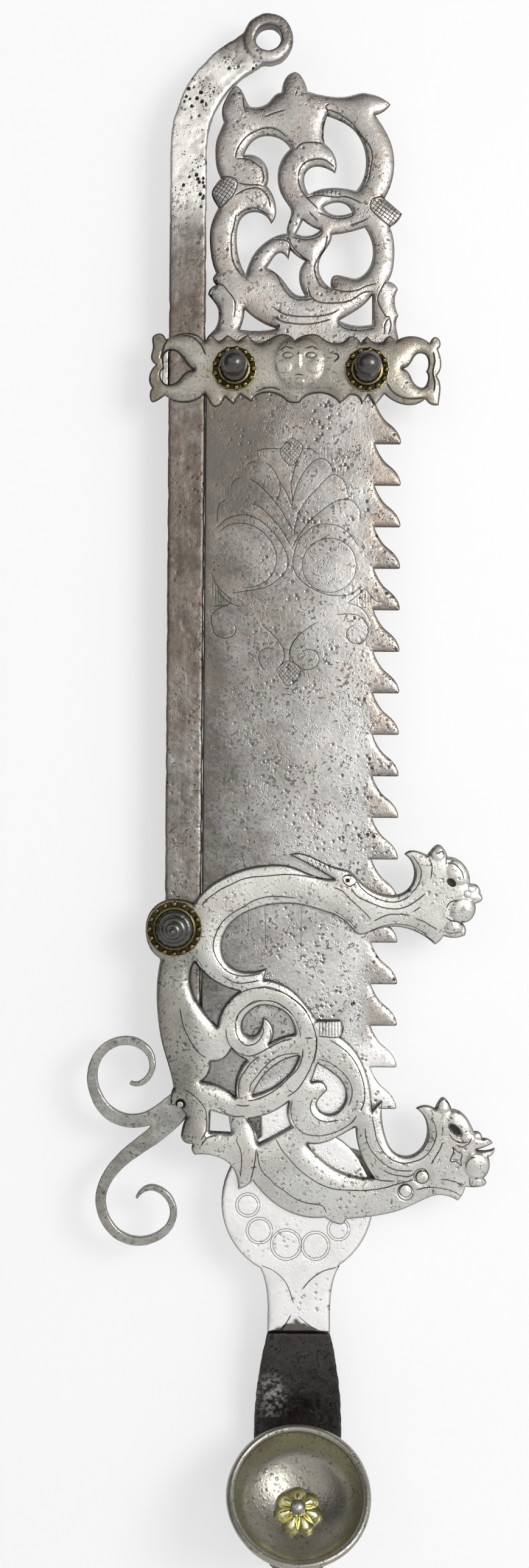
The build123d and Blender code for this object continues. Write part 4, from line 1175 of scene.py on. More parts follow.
CATCH_LINES: List[Stroke] = [
    [(332, 1486), (340, 1477), (353, 1467), (365, 1459), (382, 1451), (397, 1444), (415, 1440), (441, 1438),
     (461, 1436), (480, 1436), (499, 1438), (530, 1443)],
    [(484, 1474), (461, 1472), (441, 1472), (418, 1478), (399, 1489), (382, 1499), (366, 1513), (357, 1528),
     (351, 1547), (352, 1563), (359, 1578), (372, 1593), (391, 1601), (411, 1601), (430, 1597)],
    [(365, 1601), (384, 1612), (403, 1613), (426, 1609)],
    [(322, 1572), (334, 1590)],
    [(397, 1628), (411, 1623), (422, 1621), (441, 1620), (461, 1627), (476, 1636), (490, 1647), (503, 1661),
     (511, 1676)],
    [(388, 1676), (393, 1663), (403, 1653), (416, 1644), (432, 1642), (451, 1645), (468, 1655), (482, 1668)],
    [(548, 1457), (562, 1463), (571, 1473), (583, 1484), (595, 1495), (603, 1503), (608, 1510)],
    [(585, 1447), (593, 1458), (605, 1468), (623, 1477), (643, 1481), (659, 1478), (671, 1471)],
    [(673, 1467), (683, 1457), (689, 1443), (690, 1430), (686, 1420), (680, 1410), (676, 1405)],
    [(577, 1461), (587, 1472), (603, 1480), (615, 1485), (629, 1490), (651, 1492), (669, 1487), (685, 1477),
     (697, 1467)],
    [(703, 1409), (708, 1422), (707, 1435), (706, 1443)],
    [(732, 1406), (731, 1420)],
    [(715, 1402), (725, 1398), (728, 1403)],
    [(732, 1417), (744, 1418), (756, 1430), (760, 1443)],
    [(731, 1491), (738, 1481), (750, 1478)],
    [(730, 1506), (740, 1511), (750, 1513), (758, 1517)],
    [(725, 1529), (739, 1532), (756, 1529)],
    [(613, 1512), (627, 1505), (639, 1501), (655, 1501), (671, 1502)],
    [(680, 1507), (695, 1513), (705, 1519), (717, 1526)],
    [(607, 1529), (623, 1522), (639, 1518), (651, 1517), (673, 1520), (691, 1529), (701, 1538), (713, 1547)],
    [(548, 1495), (560, 1503), (573, 1513), (585, 1527)],
    [(677, 1497), (689, 1489)],
    [(561, 1442), (568, 1437), (579, 1439), (585, 1447), (575, 1455), (566, 1451), (561, 1442)],
    [(296, 1654), (301, 1681), (312, 1706), (326, 1726), (339, 1736)],
    [(303, 1787), (315, 1794), (328, 1806), (337, 1819), (340, 1837), (339, 1855), (331, 1869)],
    [(421, 1622), (437, 1621), (464, 1629), (480, 1638), (497, 1652), (509, 1672), (517, 1693), (519, 1715),
     (516, 1733), (509, 1753), (500, 1770), (488, 1787), (472, 1799)],
    [(371, 1688), (373, 1704), (379, 1717), (389, 1727), (402, 1732), (414, 1732), (427, 1727), (445, 1717),
     (464, 1708), (480, 1704)],
    [(387, 1677), (391, 1666), (402, 1654), (416, 1646), (434, 1642), (454, 1645), (472, 1657), (484, 1672),
     (491, 1690), (493, 1702)],
    [(387, 1677), (388, 1693), (393, 1706), (402, 1714), (410, 1715), (421, 1711), (430, 1700), (433, 1688)],
    [(443, 1688), (445, 1700), (443, 1709)],
    [(410, 1790), (412, 1779), (421, 1767), (434, 1751), (450, 1737), (468, 1730), (491, 1728)],
    [(497, 1722), (495, 1736), (488, 1754), (473, 1769), (461, 1781), (443, 1794), (423, 1803), (407, 1806)],
    [(393, 1803), (391, 1788), (394, 1770), (405, 1754), (412, 1744), (425, 1733)],
    [(355, 1817), (369, 1826), (384, 1831), (402, 1831)],
    [(387, 1812), (400, 1814), (410, 1813)],
    [(384, 1832), (380, 1842)],
    [(400, 1832), (407, 1840), (416, 1855), (420, 1875)],
    [(330, 1880), (340, 1867), (355, 1862)],
    [(519, 1674), (560, 1674), (562, 1690), (558, 1702), (522, 1700)],
    [(541, 1706), (558, 1717), (574, 1731), (586, 1749), (594, 1769), (598, 1790), (597, 1808), (592, 1821)],
    [(524, 1738), (538, 1742), (552, 1751), (567, 1765), (576, 1781), (577, 1797), (572, 1814)],
    [(513, 1803), (509, 1815), (513, 1828), (524, 1837), (538, 1840), (556, 1837)],
    [(480, 1805), (477, 1819), (480, 1839), (489, 1851), (502, 1860), (522, 1863), (541, 1860), (559, 1853),
     (576, 1842), (585, 1830)],
    [(520, 1700), (519, 1722), (515, 1744)],
    [(497, 1720), (497, 1735)],
    [(500, 1703), (513, 1703)],
    [(473, 1787), (482, 1794)],
    [(392, 1919), (396, 1932)],
    [(388, 1871), (395, 1886), (397, 1905), (395, 1928)],
    [(378, 1911), (386, 1925)],
    [(411, 1936), (415, 1923), (419, 1903), (421, 1884)],
    [(423, 1888), (425, 1907), (432, 1923), (444, 1934), (451, 1942), (467, 1953), (482, 1964), (501, 1972),
     (528, 1977), (536, 1990)],
    [(453, 1869), (463, 1886), (475, 1901), (490, 1917), (509, 1932), (528, 1943), (551, 1950), (590, 1952),
     (619, 1950), (640, 1946)],
    [(599, 1850), (600, 1866), (607, 1884), (618, 1898), (630, 1909), (644, 1917), (660, 1920), (676, 1920)],
    [(610, 1831), (614, 1850), (618, 1869), (626, 1885), (636, 1897), (649, 1905), (663, 1908), (679, 1905),
     (692, 1900), (703, 1890), (711, 1876), (715, 1861), (713, 1847), (708, 1836)],
    [(725, 1874), (721, 1885), (713, 1898), (707, 1909)],
    [(628, 1919), (641, 1925), (655, 1928), (671, 1929), (679, 1924)],
    [(612, 1933), (628, 1936), (647, 1937)],
    [(590, 1952), (612, 1951), (633, 1947), (650, 1942), (670, 1937), (678, 1933)],
    [(722, 1934), (734, 1935), (750, 1940), (758, 1948)],
    [(683, 1951), (702, 1947), (724, 1949), (742, 1954), (756, 1962)],
    [(729, 1805), (735, 1810), (739, 1820)],
    [(735, 1831), (743, 1836)],
    [(725, 1847), (726, 1858)],
    [(736, 1859), (741, 1867), (749, 1872), (758, 1874), (767, 1872)],
    [(742, 1881), (743, 1890), (738, 1904), (748, 1905), (756, 1912), (755, 1903), (757, 1893), (750, 1889),
     (742, 1881)],
    [(763, 1916), (764, 1908), (771, 1900), (779, 1897)],
    [(769, 1932), (772, 1945), (787, 1945)],
    [(747, 1877), (758, 1881), (767, 1876), (773, 1866)],
]
CATCH_SWELLINGS: List[Tuple[Pixel, float]] = [
    ((740, 1460), 66), ((752, 1878), 78), ((320, 1600), 62), ((322, 1690), 62), ((345, 1770), 60), ((360, 1850), 40),
    ((440, 1870), 60), ((400, 1905), 40), ((480, 1905), 62), ((530, 1940), 60), ((410, 1710), 36),
]
CATCH_PATCH: Stroke = [(519, 1674), (560, 1674), (562, 1690), (558, 1702), (522, 1700)]
CATCH_HORN: Stroke = [(502, 1410), (544, 1408), (546, 1432), (506, 1434)]
CATCH_BALLS: List[Tuple[Pixel, float]] = [
    ((759, 1495), 20), ((782, 1912), 20), ((787, 1862), 8), ((782, 1943), 9), ((766, 1468), 6), ((774, 1458), 7),
]
CATCH_RIVETS: List[Tuple[Pixel, float]] = [((690, 1929), 11.5), ((665, 1956), 12.5)]
CATCH_BROWS: List[Tuple[Pixel, float]] = [
    ((755, 1430), 22), ((760, 1838), 24), ((718, 1402), 12), ((727, 1814), 12), ((744, 1524), 14), ((768, 1866), 12),
]
CATCH_EYES: List[Tuple[Pixel, float, float, float]] = [
    ((740, 1449), 9, 1.5, -40), ((746, 1853), 15, 2.1, -42), ((570.5, 1445.5), 3.5, 1.0, 0),
]
MASK_LINES: List[Stroke] = [
    [(460, 580), (469, 575), (481, 578)],
    [(501, 578), (513, 575), (522, 580)],
    [(484, 622), (491, 621), (498, 622)],
]
MASK_NOSE: List[Stroke] = [[(491, 584), (491, 597), (491, 609)]]
MASK_FORMS: List[Tuple[Pixel, float, float, float, float]] = [
    ((491, 600), 40, 1.1, 0.12, 0.92), ((472, 589), 8, 0.6, 0.25, 1.7), ((510, 589), 8, 0.6, 0.25, 1.7),
    ((466, 608), 13, 0.4, 0.0, 1.1), ((516, 608), 13, 0.4, 0.0, 1.1), ((491, 632), 8, 0.4, 0.0, 1.3),
]
COLLAR_LINES: List[Stroke] = [
    [(286, 580), (277, 580), (270, 585), (268, 594), (269, 608), (265, 615), (265, 626), (270, 634), (277, 636)],
    [(301, 555), (314, 557), (325, 565), (332, 574), (338, 588)],
    [(275, 561), (269, 576), (264, 594)],
    [(421, 648), (432, 643), (446, 641), (460, 645)],
    [(635, 635), (643, 647), (655, 655), (668, 659), (685, 659), (697, 657)],
    [(711, 583), (713, 598), (710, 615), (713, 633), (712, 648)],
    [(547, 586), (553, 587), (555, 593), (548, 600)],
]


# The trammel's own pieces


def blade_steps() -> Dict[str, float]:
    """Give the heights at which the blade's outline changes, from the CAD boxes."""
    blade_low, blade_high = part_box("saw_blade")
    return {"crest": blade_high.z - 177.9 * MM, "disc": blade_low.z + 136.0 * MM, "neck": blade_low.z + 44.0 * MM,
            "teeth": blade_high.x - 21.0 * MM}


def blade_edge(places: np.ndarray) -> EdgeForm:
    """Round the crest's bands, hollow the teeth, and soften the rest of the blade's edge."""
    at = blade_steps()
    x, z = places.T
    reach, drop, power, swell, proud = (np.full(len(places), v) for v in (1.4 * MM, 0.7 * MM, 2.0, 0.0, 0.0))
    crest = np.clip((z - at["crest"]) / (8 * MM), 0, 1)
    swell += crest * 5.2 * MM
    proud += crest * 1.5 * MM
    teeth = (x > at["teeth"]) & (z < at["crest"]) & (z > at["disc"])
    reach[teeth], drop[teeth], power[teeth] = 2.6 * MM, 0.8 * MM, 1.3
    hollow = np.clip((x - at["teeth"] + 4 * MM) / (14 * MM), 0, 1) * (z < at["crest"]) * (z > at["disc"])
    swell += hollow * 1.0 * MM
    disc = z < at["disc"]
    reach[disc], drop[disc] = 2.6 * MM, 1.1 * MM
    neck = np.clip((at["neck"] - z) / (6 * MM), 0, 1)
    swell += neck * 1.6 * MM
    return EdgeForm(reach, drop, power, swell, proud)


def blade_patina_and_shade(points: np.ndarray) -> Dict[str, np.ndarray]:
    """Darken the blade's left side and top, whiten its lower plate, disc and neck with a painted reflection on paler
    metal, paint shade under the neck's arch, and brown its teeth.
    """
    at = blade_steps()
    x, _, z = points.T
    across = np.clip((x - x.min()) / (x.max() - x.min()), 0, 1)
    high = np.clip((z - at["disc"]) / (at["crest"] - at["disc"]), 0, 1)
    crest = z > at["crest"]
    tone = np.where(crest, -0.10, -0.38 + 0.72 * across - 0.36 * high)
    # Paler metal with a painted reflection of the lamp over the lower plate, disc and neck.
    bound_x, bound_z = PHOTO.place((480, 1775))
    pale = np.clip((bound_z - z + 0.47 * (x - bound_x)) / (16 * MM) + 0.5, 0, 1)
    tone += 0.95 * pale
    # Painted shade under the neck's arch, where the hook strap bends away from the light.
    arch_x, arch_z = PHOTO.place((486, 2164))
    tone -= 1.7 * np.clip((arch_z - 0.5 * np.abs(x - arch_x) - z) / (1.5 * MM), 0, 1)
    teeth = np.clip((x - at["teeth"] + 6 * MM) / (12 * MM), 0, 1) * ~crest * (z > at["disc"])
    tone -= 0.36 * teeth
    pitted = np.where(crest, 0.1, across * 1.2 - 0.6) - 0.25 * pale
    return {"tone": tone, "brown": 0.4 * teeth + 0.42 * crest + 0.28 * high ** 2 * ~crest, "pitted": pitted}


def blade_fine(places: np.ndarray) -> np.ndarray:
    """Tell where the blade's front is worked closely."""
    return places[:, 1] > blade_steps()["crest"] - 3 * MM


def blade_cuts() -> List[Cut]:
    """Gather the blade's engraving: crest, palmette, disc, neck and scratches."""
    crest = cuts_on(PHOTO, CREST_LINES, 0.65 * MM, 0.45 * MM)
    for lozenge in CREST_LOZENGES:
        for angle in (35, 125):
            crest += cuts_on(PHOTO, hatched(lozenge, angle, 6), 0.3 * MM, 0.25 * MM)
    crest += cuts_on(PHOTO, hatched(CREST_LIP, 90, 7), 0.32 * MM, 0.3 * MM)
    palmette = cuts_on(PHOTO, PALMETTE_LINES, 0.5 * MM, 0.08 * MM)
    for patch in PALMETTE_PATCHES:
        palmette += cuts_on(PHOTO, hatched(patch, 90, 4.5), 0.26 * MM, 0.05 * MM)
    for lozenge in PALMETTE_LOZENGES:
        for angle in (48, 132):
            palmette += cuts_on(PHOTO, hatched(lozenge, angle, 5), 0.26 * MM, 0.05 * MM)
    rings = [ring(centre, radius) for centre, radius in [PALMETTE_RING] + DISC_CIRCLES]
    rings += [ring(centre, radius - 4) for centre, radius in DISC_CIRCLES]
    palmette += cuts_on(PHOTO, rings, 0.42 * MM, 0.07 * MM)
    neck = cuts_on(PHOTO, NECK_LINES, 0.5 * MM, 0.45 * MM)
    return crest + palmette + neck + cuts_on(PHOTO, SCRATCHES, 0.3 * MM, 0.03 * MM)


def ring(centre: Pixel, radius: float) -> Stroke:
    """Give a closed round stroke on the photograph."""
    turns = [2 * math.pi * k / 14 for k in range(15)]
    return [(centre[0] + radius * math.cos(t), centre[1] + radius * math.sin(t)) for t in turns]


def saw_blade() -> ReliefPlate:
    """Describe the engraved blade."""
    dots = [Boss(PHOTO.place(dot), 0.5 * MM, -0.3 * MM) for dot in PUNCHED_DOTS]
    return ReliefPlate("saw_blade", Body.BLADE, "blade_steel", BLADE_STEEL, edge_form=blade_edge,
                       fine_area=blade_fine, cuts=blade_cuts(), bosses=dots, patina_and_shade=blade_patina_and_shade)


def catch_edge(places: np.ndarray) -> EdgeForm:
    """Round the catch's bands a little, and its arm, leaves and heads strongly."""
    reach, drop, power, swell, proud = (np.full(len(places), v) for v in (1.6 * MM, 0.7 * MM, 2.0, 2.6 * MM, 0.5 * MM))
    for middle, radius in CATCH_SWELLINGS:
        away = np.linalg.norm(places - np.array(PHOTO.place(middle)), axis=1) / (radius * PHOTO.scale)
        full = np.clip(1.35 - away, 0, 1)
        swell = np.maximum(swell, (2.6 + 2.4 * full) * MM)
        proud = np.maximum(proud, (0.5 + full * 0.8) * MM)
    return EdgeForm(reach, drop, power, swell, proud)


def catch_patina_and_shade(points: np.ndarray) -> Dict[str, np.ndarray]:
    """Darken the catch's left arm, as darker patina and as painted shade on its rounded tubes."""
    x = points[:, 0]
    # The left arm's darkening is darker patina and painted shade.
    arm = np.clip((PHOTO.place((345, 1700))[0] - x) / (14 * MM), 0, 1)
    return {"tone": 0.10 - 0.42 * arm, "pitted": np.full(len(x), 0.25), "brown": np.full(len(x), 0.05)}


def everywhere(places: np.ndarray) -> np.ndarray:
    """Tell that the whole front is worked closely."""
    return np.ones(len(places), bool)


def catch_plate() -> ReliefPlate:
    """Describe the pierced catch with its two beast heads."""
    cuts = cuts_on(PHOTO, CATCH_LINES, 0.5 * MM, 0.42 * MM)
    cuts += cuts_on(PHOTO, hatched(CATCH_PATCH, 90, 5), 0.3 * MM, 0.28 * MM)
    cuts += cuts_on(PHOTO, hatched(CATCH_HORN, 70, 6), 0.3 * MM, 0.28 * MM)
    cuts += cuts_on(PHOTO, [ring(place, radius) for place, radius in CATCH_RIVETS], 0.5 * MM, 0.3 * MM)
    balls = [Boss(PHOTO.place(place), radius * PHOTO.scale, radius * PHOTO.scale * 0.13, 0.16 * MM)
             for place, radius in CATCH_BALLS]
    brows = [Boss(PHOTO.place(place), radius * PHOTO.scale, 1.1 * MM) for place, radius in CATCH_BROWS]
    eyes = [Boss(PHOTO.place(place), radius * PHOTO.scale, -1.6 * MM, stretch=stretch, turn=math.radians(turn))
            for place, radius, stretch, turn in CATCH_EYES]
    return ReliefPlate("catch_front_plate", Body.CATCH, "catch_steel", CATCH_STEEL, edge_form=catch_edge,
                       fine_area=everywhere, cuts=cuts, bosses=balls + brows + eyes, fine_step=0.95 * MM,
                       patina_and_shade=catch_patina_and_shade, swell_reach=4.0 * MM)


def collar_edge(places: np.ndarray) -> EdgeForm:
    """Round the collar's lobes strongly."""
    return EdgeForm(*(np.full(len(places), v) for v in (1.4 * MM, 0.6 * MM, 2.0, 4.2 * MM, 0.9 * MM)))


def collar_patina_and_shade(points: np.ndarray) -> Dict[str, np.ndarray]:
    """Brown the whole collar, and darken its bent-back left end with painted shade."""
    x = points[:, 0]
    # The left end's darkening is painted shade of the bent-back lobes.
    return {"brown": np.full(len(x), 0.42), "pitted": np.full(len(x), -0.2),
            "tone": -0.30 - 0.3 * np.clip((-60 * MM - x) / (16 * MM), 0, 1)}


def collar_plane() -> PhotoPlane:
    """Give the photograph's places for the collar, whose outline stands a little higher."""
    return PhotoPlane(eye_y=PHOTO.eye_y + 2.4)


def collar_plate() -> ReliefPlate:
    """Describe the collar's front plate, with a calm round mask in its middle."""
    plane = collar_plane()
    cuts = cuts_on(plane, COLLAR_LINES, 0.7 * MM, 0.6 * MM)
    cuts += cuts_on(plane, MASK_LINES, 0.5 * MM, 0.4 * MM)
    cuts += cuts_on(plane, MASK_NOSE, 1.8 * MM, -0.7 * MM)
    bosses = [Boss(plane.place(place), radius * PHOTO.scale, rise * MM, moat * MM, stretch)
              for place, radius, rise, moat, stretch in MASK_FORMS]
    return ReliefPlate("collar_front_plate", Body.BLADE, "catch_steel", CATCH_STEEL, edge_form=collar_edge,
                       fine_area=everywhere, cuts=cuts, bosses=bosses, patina_and_shade=collar_patina_and_shade,
                       swell_reach=5.5 * MM)


@dataclass
class BeadedWasher(Placed):
    """A domed brass washer with a ring of cast beads."""

    beads: int = 13
    bead_radius: float = 2.0 * MM
    seed: int = 3

    def build(self) -> bpy.types.Object:
        """Turn the washer and set its beads with a node group.

        Returns:
            The placed washer.
        """
        low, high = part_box(self.node)
        middle = (low + high) / 2
        radius = (high.x - low.x) / 2
        thick = (high.y - low.y)
        axis = Axis(Vector((middle.x, high.y, middle.z)))
        seat = radius - 2.1 * self.bead_radius
        profile = [(3.0 * MM, 0), (radius - 0.5 * MM, 0), (radius, 0.5 * MM), (radius - 0.1 * MM, 1.5 * MM),
                   (radius - 0.7 * MM, 1.6 * MM), (radius - 1.1 * MM, 0.9 * MM), (seat + 0.3 * MM, 0.9 * MM),
                   (seat, thick * 0.72), (seat - 1.2 * MM, thick * 0.80), (seat - 2.2 * MM, thick * 0.52),
                   (3.0 * MM, thick * 0.5), (3.0 * MM, 0.2 * MM)]
        round_count = 96
        points, faces = turn_profile(np.array(profile), axis, round_count)
        # Tone by profile ring: a lighter outer rim, and painted shade in the channel where the beads sit.
        channel = [0.0, 0.1, 0.25, 0.3, 0.1, -0.5, -0.5, -0.25, -0.2, -0.4, -0.5, 0.0]
        tone = np.repeat(channel, round_count)
        washer = make_piece(self.name, points, faces, self.finish, {"tone": tone})
        centre = Vector((middle.x, high.y - 2.3 * MM, middle.z))
        set_beads(washer, self.beads, radius - self.bead_radius, self.bead_radius, centre, self.finish, self.seed)
        return self.put(washer)


def set_beads(piece: bpy.types.Object, count: int, ring_radius: float, bead_radius: float, centre: Vector,
              finish: MetalFinish, seed: int) -> None:
    """Add a ring of slightly uneven beads to a piece and bake it.

    Args:
        piece: the object that gets the beads.
        count: how many beads.
        ring_radius: from the centre to the beads' middles.
        bead_radius: the size of one bead.
        centre: the ring's centre.
        finish: what the beads are made of.
        seed: sets the beads' unevenness.
    """
    tree = bpy.data.node_groups.new(piece.name + "_beads", "GeometryNodeTree")
    sockets = {}
    for label, kind in (("Geometry", "NodeSocketGeometry"), ("Beads", "NodeSocketInt"),
                        ("Ring radius", "NodeSocketFloat"), ("Bead radius", "NodeSocketFloat"),
                        ("Centre", "NodeSocketVector"), ("Seed", "NodeSocketInt")):
        sockets[label] = tree.interface.new_socket(label, in_out="INPUT", socket_type=kind).identifier
    tree.interface.new_socket("Geometry", in_out="OUTPUT", socket_type="NodeSocketGeometry")
    given = tree.nodes.new("NodeGroupInput").outputs

    def add(kind: str, values: Dict[Union[int, str], object], **settings: object) -> bpy.types.Node:
        """Add a node with its settings and inputs."""
        node = tree.nodes.new(kind)
        for label, value in settings.items():
            setattr(node, label, value)
        for label, value in values.items():
            if isinstance(value, bpy.types.NodeSocket):
                tree.links.new(value, node.inputs[label])
            else:
                node.inputs[label].default_value = value
        return node

    circle = add("GeometryNodeMeshCircle", {"Vertices": given["Beads"], "Radius": given["Ring radius"]})
    ball = add("GeometryNodeMeshUVSphere", {"Segments": 18, "Rings": 12, "Radius": given["Bead radius"]})
    size = add("FunctionNodeRandomValue", {2: 0.9, 3: 1.04, "Seed": given["Seed"]}, data_type="FLOAT")
    beads = add("GeometryNodeInstanceOnPoints", {"Points": circle.outputs[0], "Instance": ball.outputs["Mesh"],
                                                 "Scale": size.outputs[1]})
    upright = add("GeometryNodeTransform", {"Geometry": beads.outputs[0], "Translation": given["Centre"],
                                            "Rotation": (math.radians(90), 0.0, 0.0)})
    real = add("GeometryNodeRealizeInstances", {0: upright.outputs[0]})
    smooth = add("GeometryNodeSetShadeSmooth", {0: real.outputs[0]})
    join = add("GeometryNodeJoinGeometry", {})
    tree.links.new(given["Geometry"], join.inputs[0])
    tree.links.new(smooth.outputs[0], join.inputs[0])
    metal = add("GeometryNodeSetMaterial", {0: join.outputs[0], "Material": finish.material()})
    last = tree.nodes.new("NodeGroupOutput")
    tree.links.new(metal.outputs[0], last.inputs[0])
    modifier = piece.modifiers.new("beads", "NODES")
    modifier.node_group = tree
    for label, value in (("Beads", count), ("Ring radius", ring_radius), ("Bead radius", bead_radius),
                         ("Centre", centre), ("Seed", seed)):
        modifier[sockets[label]] = value
    evaluated = piece.evaluated_get(bpy.context.evaluated_depsgraph_get())
    baked = bpy.data.meshes.new_from_object(evaluated)
    piece.modifiers.clear()
    piece.data = baked


@dataclass
class DomedRivet(Placed):
    """A collar rivet with its tall domed finial."""

    def build(self) -> bpy.types.Object:
        """Turn the finial, its shank and its peened end in one."""
        low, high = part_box(self.node)
        middle = (low + high) / 2
        wide = (high.x - low.x) / 2
        tall = 25.0 * MM
        axis = Axis(Vector((middle.x, low.y + tall, middle.z)))
        behind = -(high.y - axis.centre.y)
        belly = tall - wide
        outline = [(0, behind), (3.4 * MM, behind + 0.4 * MM), (5.6 * MM, behind + 1.9 * MM),
                   (5.7 * MM, behind + 2.5 * MM), (3.5 * MM, behind + 2.6 * MM), (3.5 * MM, 0), (wide, 0),
                   (wide, 1.2 * MM), (wide * 0.9, 2.5 * MM), (5.8 * MM, 3.6 * MM), (5.2 * MM, 5.4 * MM),
                   (5.4 * MM, 8.0 * MM)]
        bulb = [(wide * math.cos(a), belly + wide * math.sin(a)) for a in np.linspace(-0.85, math.pi / 2, 22)]
        profile = np.array(outline + bulb)
        profile[-1][0] = 0
        points, faces = turn_profile(profile, axis, 72)
        return self.put(make_piece(self.name, points, faces, self.finish, crease=42))


@dataclass
class RibbedCone(Placed):
    """The pivot rivet: a stepped cone with hollow risers, a little crooked."""

    steps: int = 4

    def build(self) -> bpy.types.Object:
        """Turn the cone, its shank and its peened end in one."""
        low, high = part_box(self.node)
        middle = (low + high) / 2
        wide = (high.x - low.x) / 2
        tall = 13.0 * MM
        axis = Axis(Vector((middle.x, low.y + tall, middle.z)))
        behind = -(high.y - axis.centre.y)
        profile = [(0, behind), (4.2 * MM, behind + 0.5 * MM), (6.5 * MM, behind + 2.0 * MM),
                   (6.5 * MM, behind + 2.5 * MM), (4.0 * MM, behind + 2.5 * MM), (4.0 * MM, 0)]
        for step in range(self.steps):
            outer = wide * (1 - step / self.steps) + 0.15 * MM
            base = tall * step / self.steps
            rise = tall / self.steps
            for part in np.linspace(0, 1, 7):
                swell = math.sin(math.pi * part)
                profile.append((outer - part * wide / self.steps * 0.62 + swell * 0.55 * MM - 0.15 * MM,
                                base + part * rise * 0.92))
        profile.append((0, tall))
        points, faces = turn_profile(np.array(profile), axis, 72)
        lean = np.clip((axis.centre.y - points[:, 1]) / tall, 0, 1) ** 1.5
        points[:, 0] -= lean * 1.2 * MM
        points[:, 2] -= lean * 1.6 * MM
        return self.put(make_piece(self.name, points, faces, self.finish, crease=50))


DISH_TILT = math.radians(40)
DISH_AXIS = Vector((0.0, -math.cos(DISH_TILT), math.sin(DISH_TILT)))


def dish_base() -> Vector:
    """Find the middle of the dish's underside from the CAD mesh."""
    places = mesh_points(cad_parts["hook_dish"].data)
    direction = np.array(DISH_AXIS)
    heights = places @ direction
    rim = places[heights > heights.max() - 2.8 * MM]
    centre = (rim.min(axis=0) + rim.max(axis=0)) / 2
    return Vector(centre + direction * (heights.min() - centre @ direction))


@dataclass
class SpunDish(Placed):
    """The round dish: a thin wall and a rolled lip."""

    def build(self) -> bpy.types.Object:
        """Turn the wall inside and outside, with the lip rolled over."""
        radius, depth, wall, lip, floor = 46.5 * MM, 32.0 * MM, 2.0 * MM, 2.6 * MM, 16.4 * MM
        hole = 2.5 * MM
        outer = self.side(radius - lip, floor, depth - lip, 0.0)
        inner = self.side(radius - lip - wall * 0.8, floor, depth - lip, wall)
        roll = [(radius - lip + lip * math.cos(a), depth - lip + lip * math.sin(a))
                for a in np.linspace(-0.9, math.pi + 0.35, 20)]
        profile = [(hole, 0.0), (floor * 0.6, 0.0)] + outer[:-1] + roll + inner[::-1][1:] + [
            (floor * 0.6, wall), (hole, wall), (hole, wall * 0.5)]
        points, faces = turn_profile(np.array(profile), Axis(dish_base(), DISH_AXIS), 144, self.wobble)
        return self.put(make_piece(self.name, points, faces, self.finish, crease=50))

    @staticmethod
    def side(radius: float, floor: float, height: float, base: float) -> List[Pixel]:
        """Curve one side of the wall from the floor to the rim."""
        shoulder = (floor + (radius - floor) * 0.66, base + (height - base) * 0.36)
        line = smooth_line(np.array([(floor * 0.8, base), (floor, base), shoulder, (radius, height)]), 2.2 * MM)
        return [tuple(p) for p in line]

    @staticmethod
    def wobble(angle: float, height: float) -> float:
        """Leave the hand-raised dish a little out of round."""
        return 1 + (0.006 * math.sin(2 * angle + 0.6) + 0.003 * math.sin(5 * angle)) * height / (32 * MM)


@dataclass
class Rosette(Placed):
    """The cast brass flower in the dish."""

    petals: int = 7

    def build(self) -> bpy.types.Object:
        """Raise the petals' surface over a polar grid and close it underneath."""
        base = dish_base() + DISH_AXIS * 2.0 * MM
        carry = Axis(base, DISH_AXIS).matrix()
        count, rings = 168, 20
        radius, tall = 15.6 * MM, 6.5 * MM
        points, faces = [carry @ Vector((0, 0, tall * 0.8))], []
        for level in range(1, rings + 1):
            for index in range(count):
                angle = 2 * math.pi * index / count
                points.append(carry @ self.place(angle, level / rings, radius, tall))
        for index in range(count):
            angle = 2 * math.pi * index / count
            edge = self.reach(angle) * radius
            points.append(carry @ Vector((edge * math.cos(angle), edge * math.sin(angle), 0)))
        points.append(carry @ Vector((0, 0, 0)))
        last = len(points) - 1
        for index in range(count):
            after = (index + 1) % count
            faces.append((0, 1 + index, 1 + after))
            for level in range(rings):
                low, high = 1 + level * count, 1 + (level + 1) * count
                faces.append((low + index, high + index, high + after, low + after))
            faces.append((1 + rings * count + index, last, 1 + rings * count + after))
        return self.put(make_piece(self.name, np.array(points), faces, self.finish, crease=70))

    def reach(self, angle: float) -> float:
        """Give the flower's outline at an angle, 1 at a petal's tip."""
        return 0.80 + 0.20 * abs(math.cos(self.petals * angle / 2)) ** 0.7

    def place(self, angle: float, part: float, radius: float, tall: float) -> Vector:
        """Place one point of the petals' surface."""
        petal = abs(math.cos(self.petals * angle / 2))
        wide = self.reach(angle) * radius * part
        crown = math.sin(math.pi * min(1, part * 1.02)) ** 0.6
        height = tall * (0.34 + 0.42 * crown * petal ** 0.8 - 0.22 * part ** 3)
        if part < 0.34:
            height = tall * (0.8 - 0.35 * (part / 0.34) ** 3)
        return Vector((wide * math.cos(angle), wide * math.sin(angle), height))


# Stage, light and camera


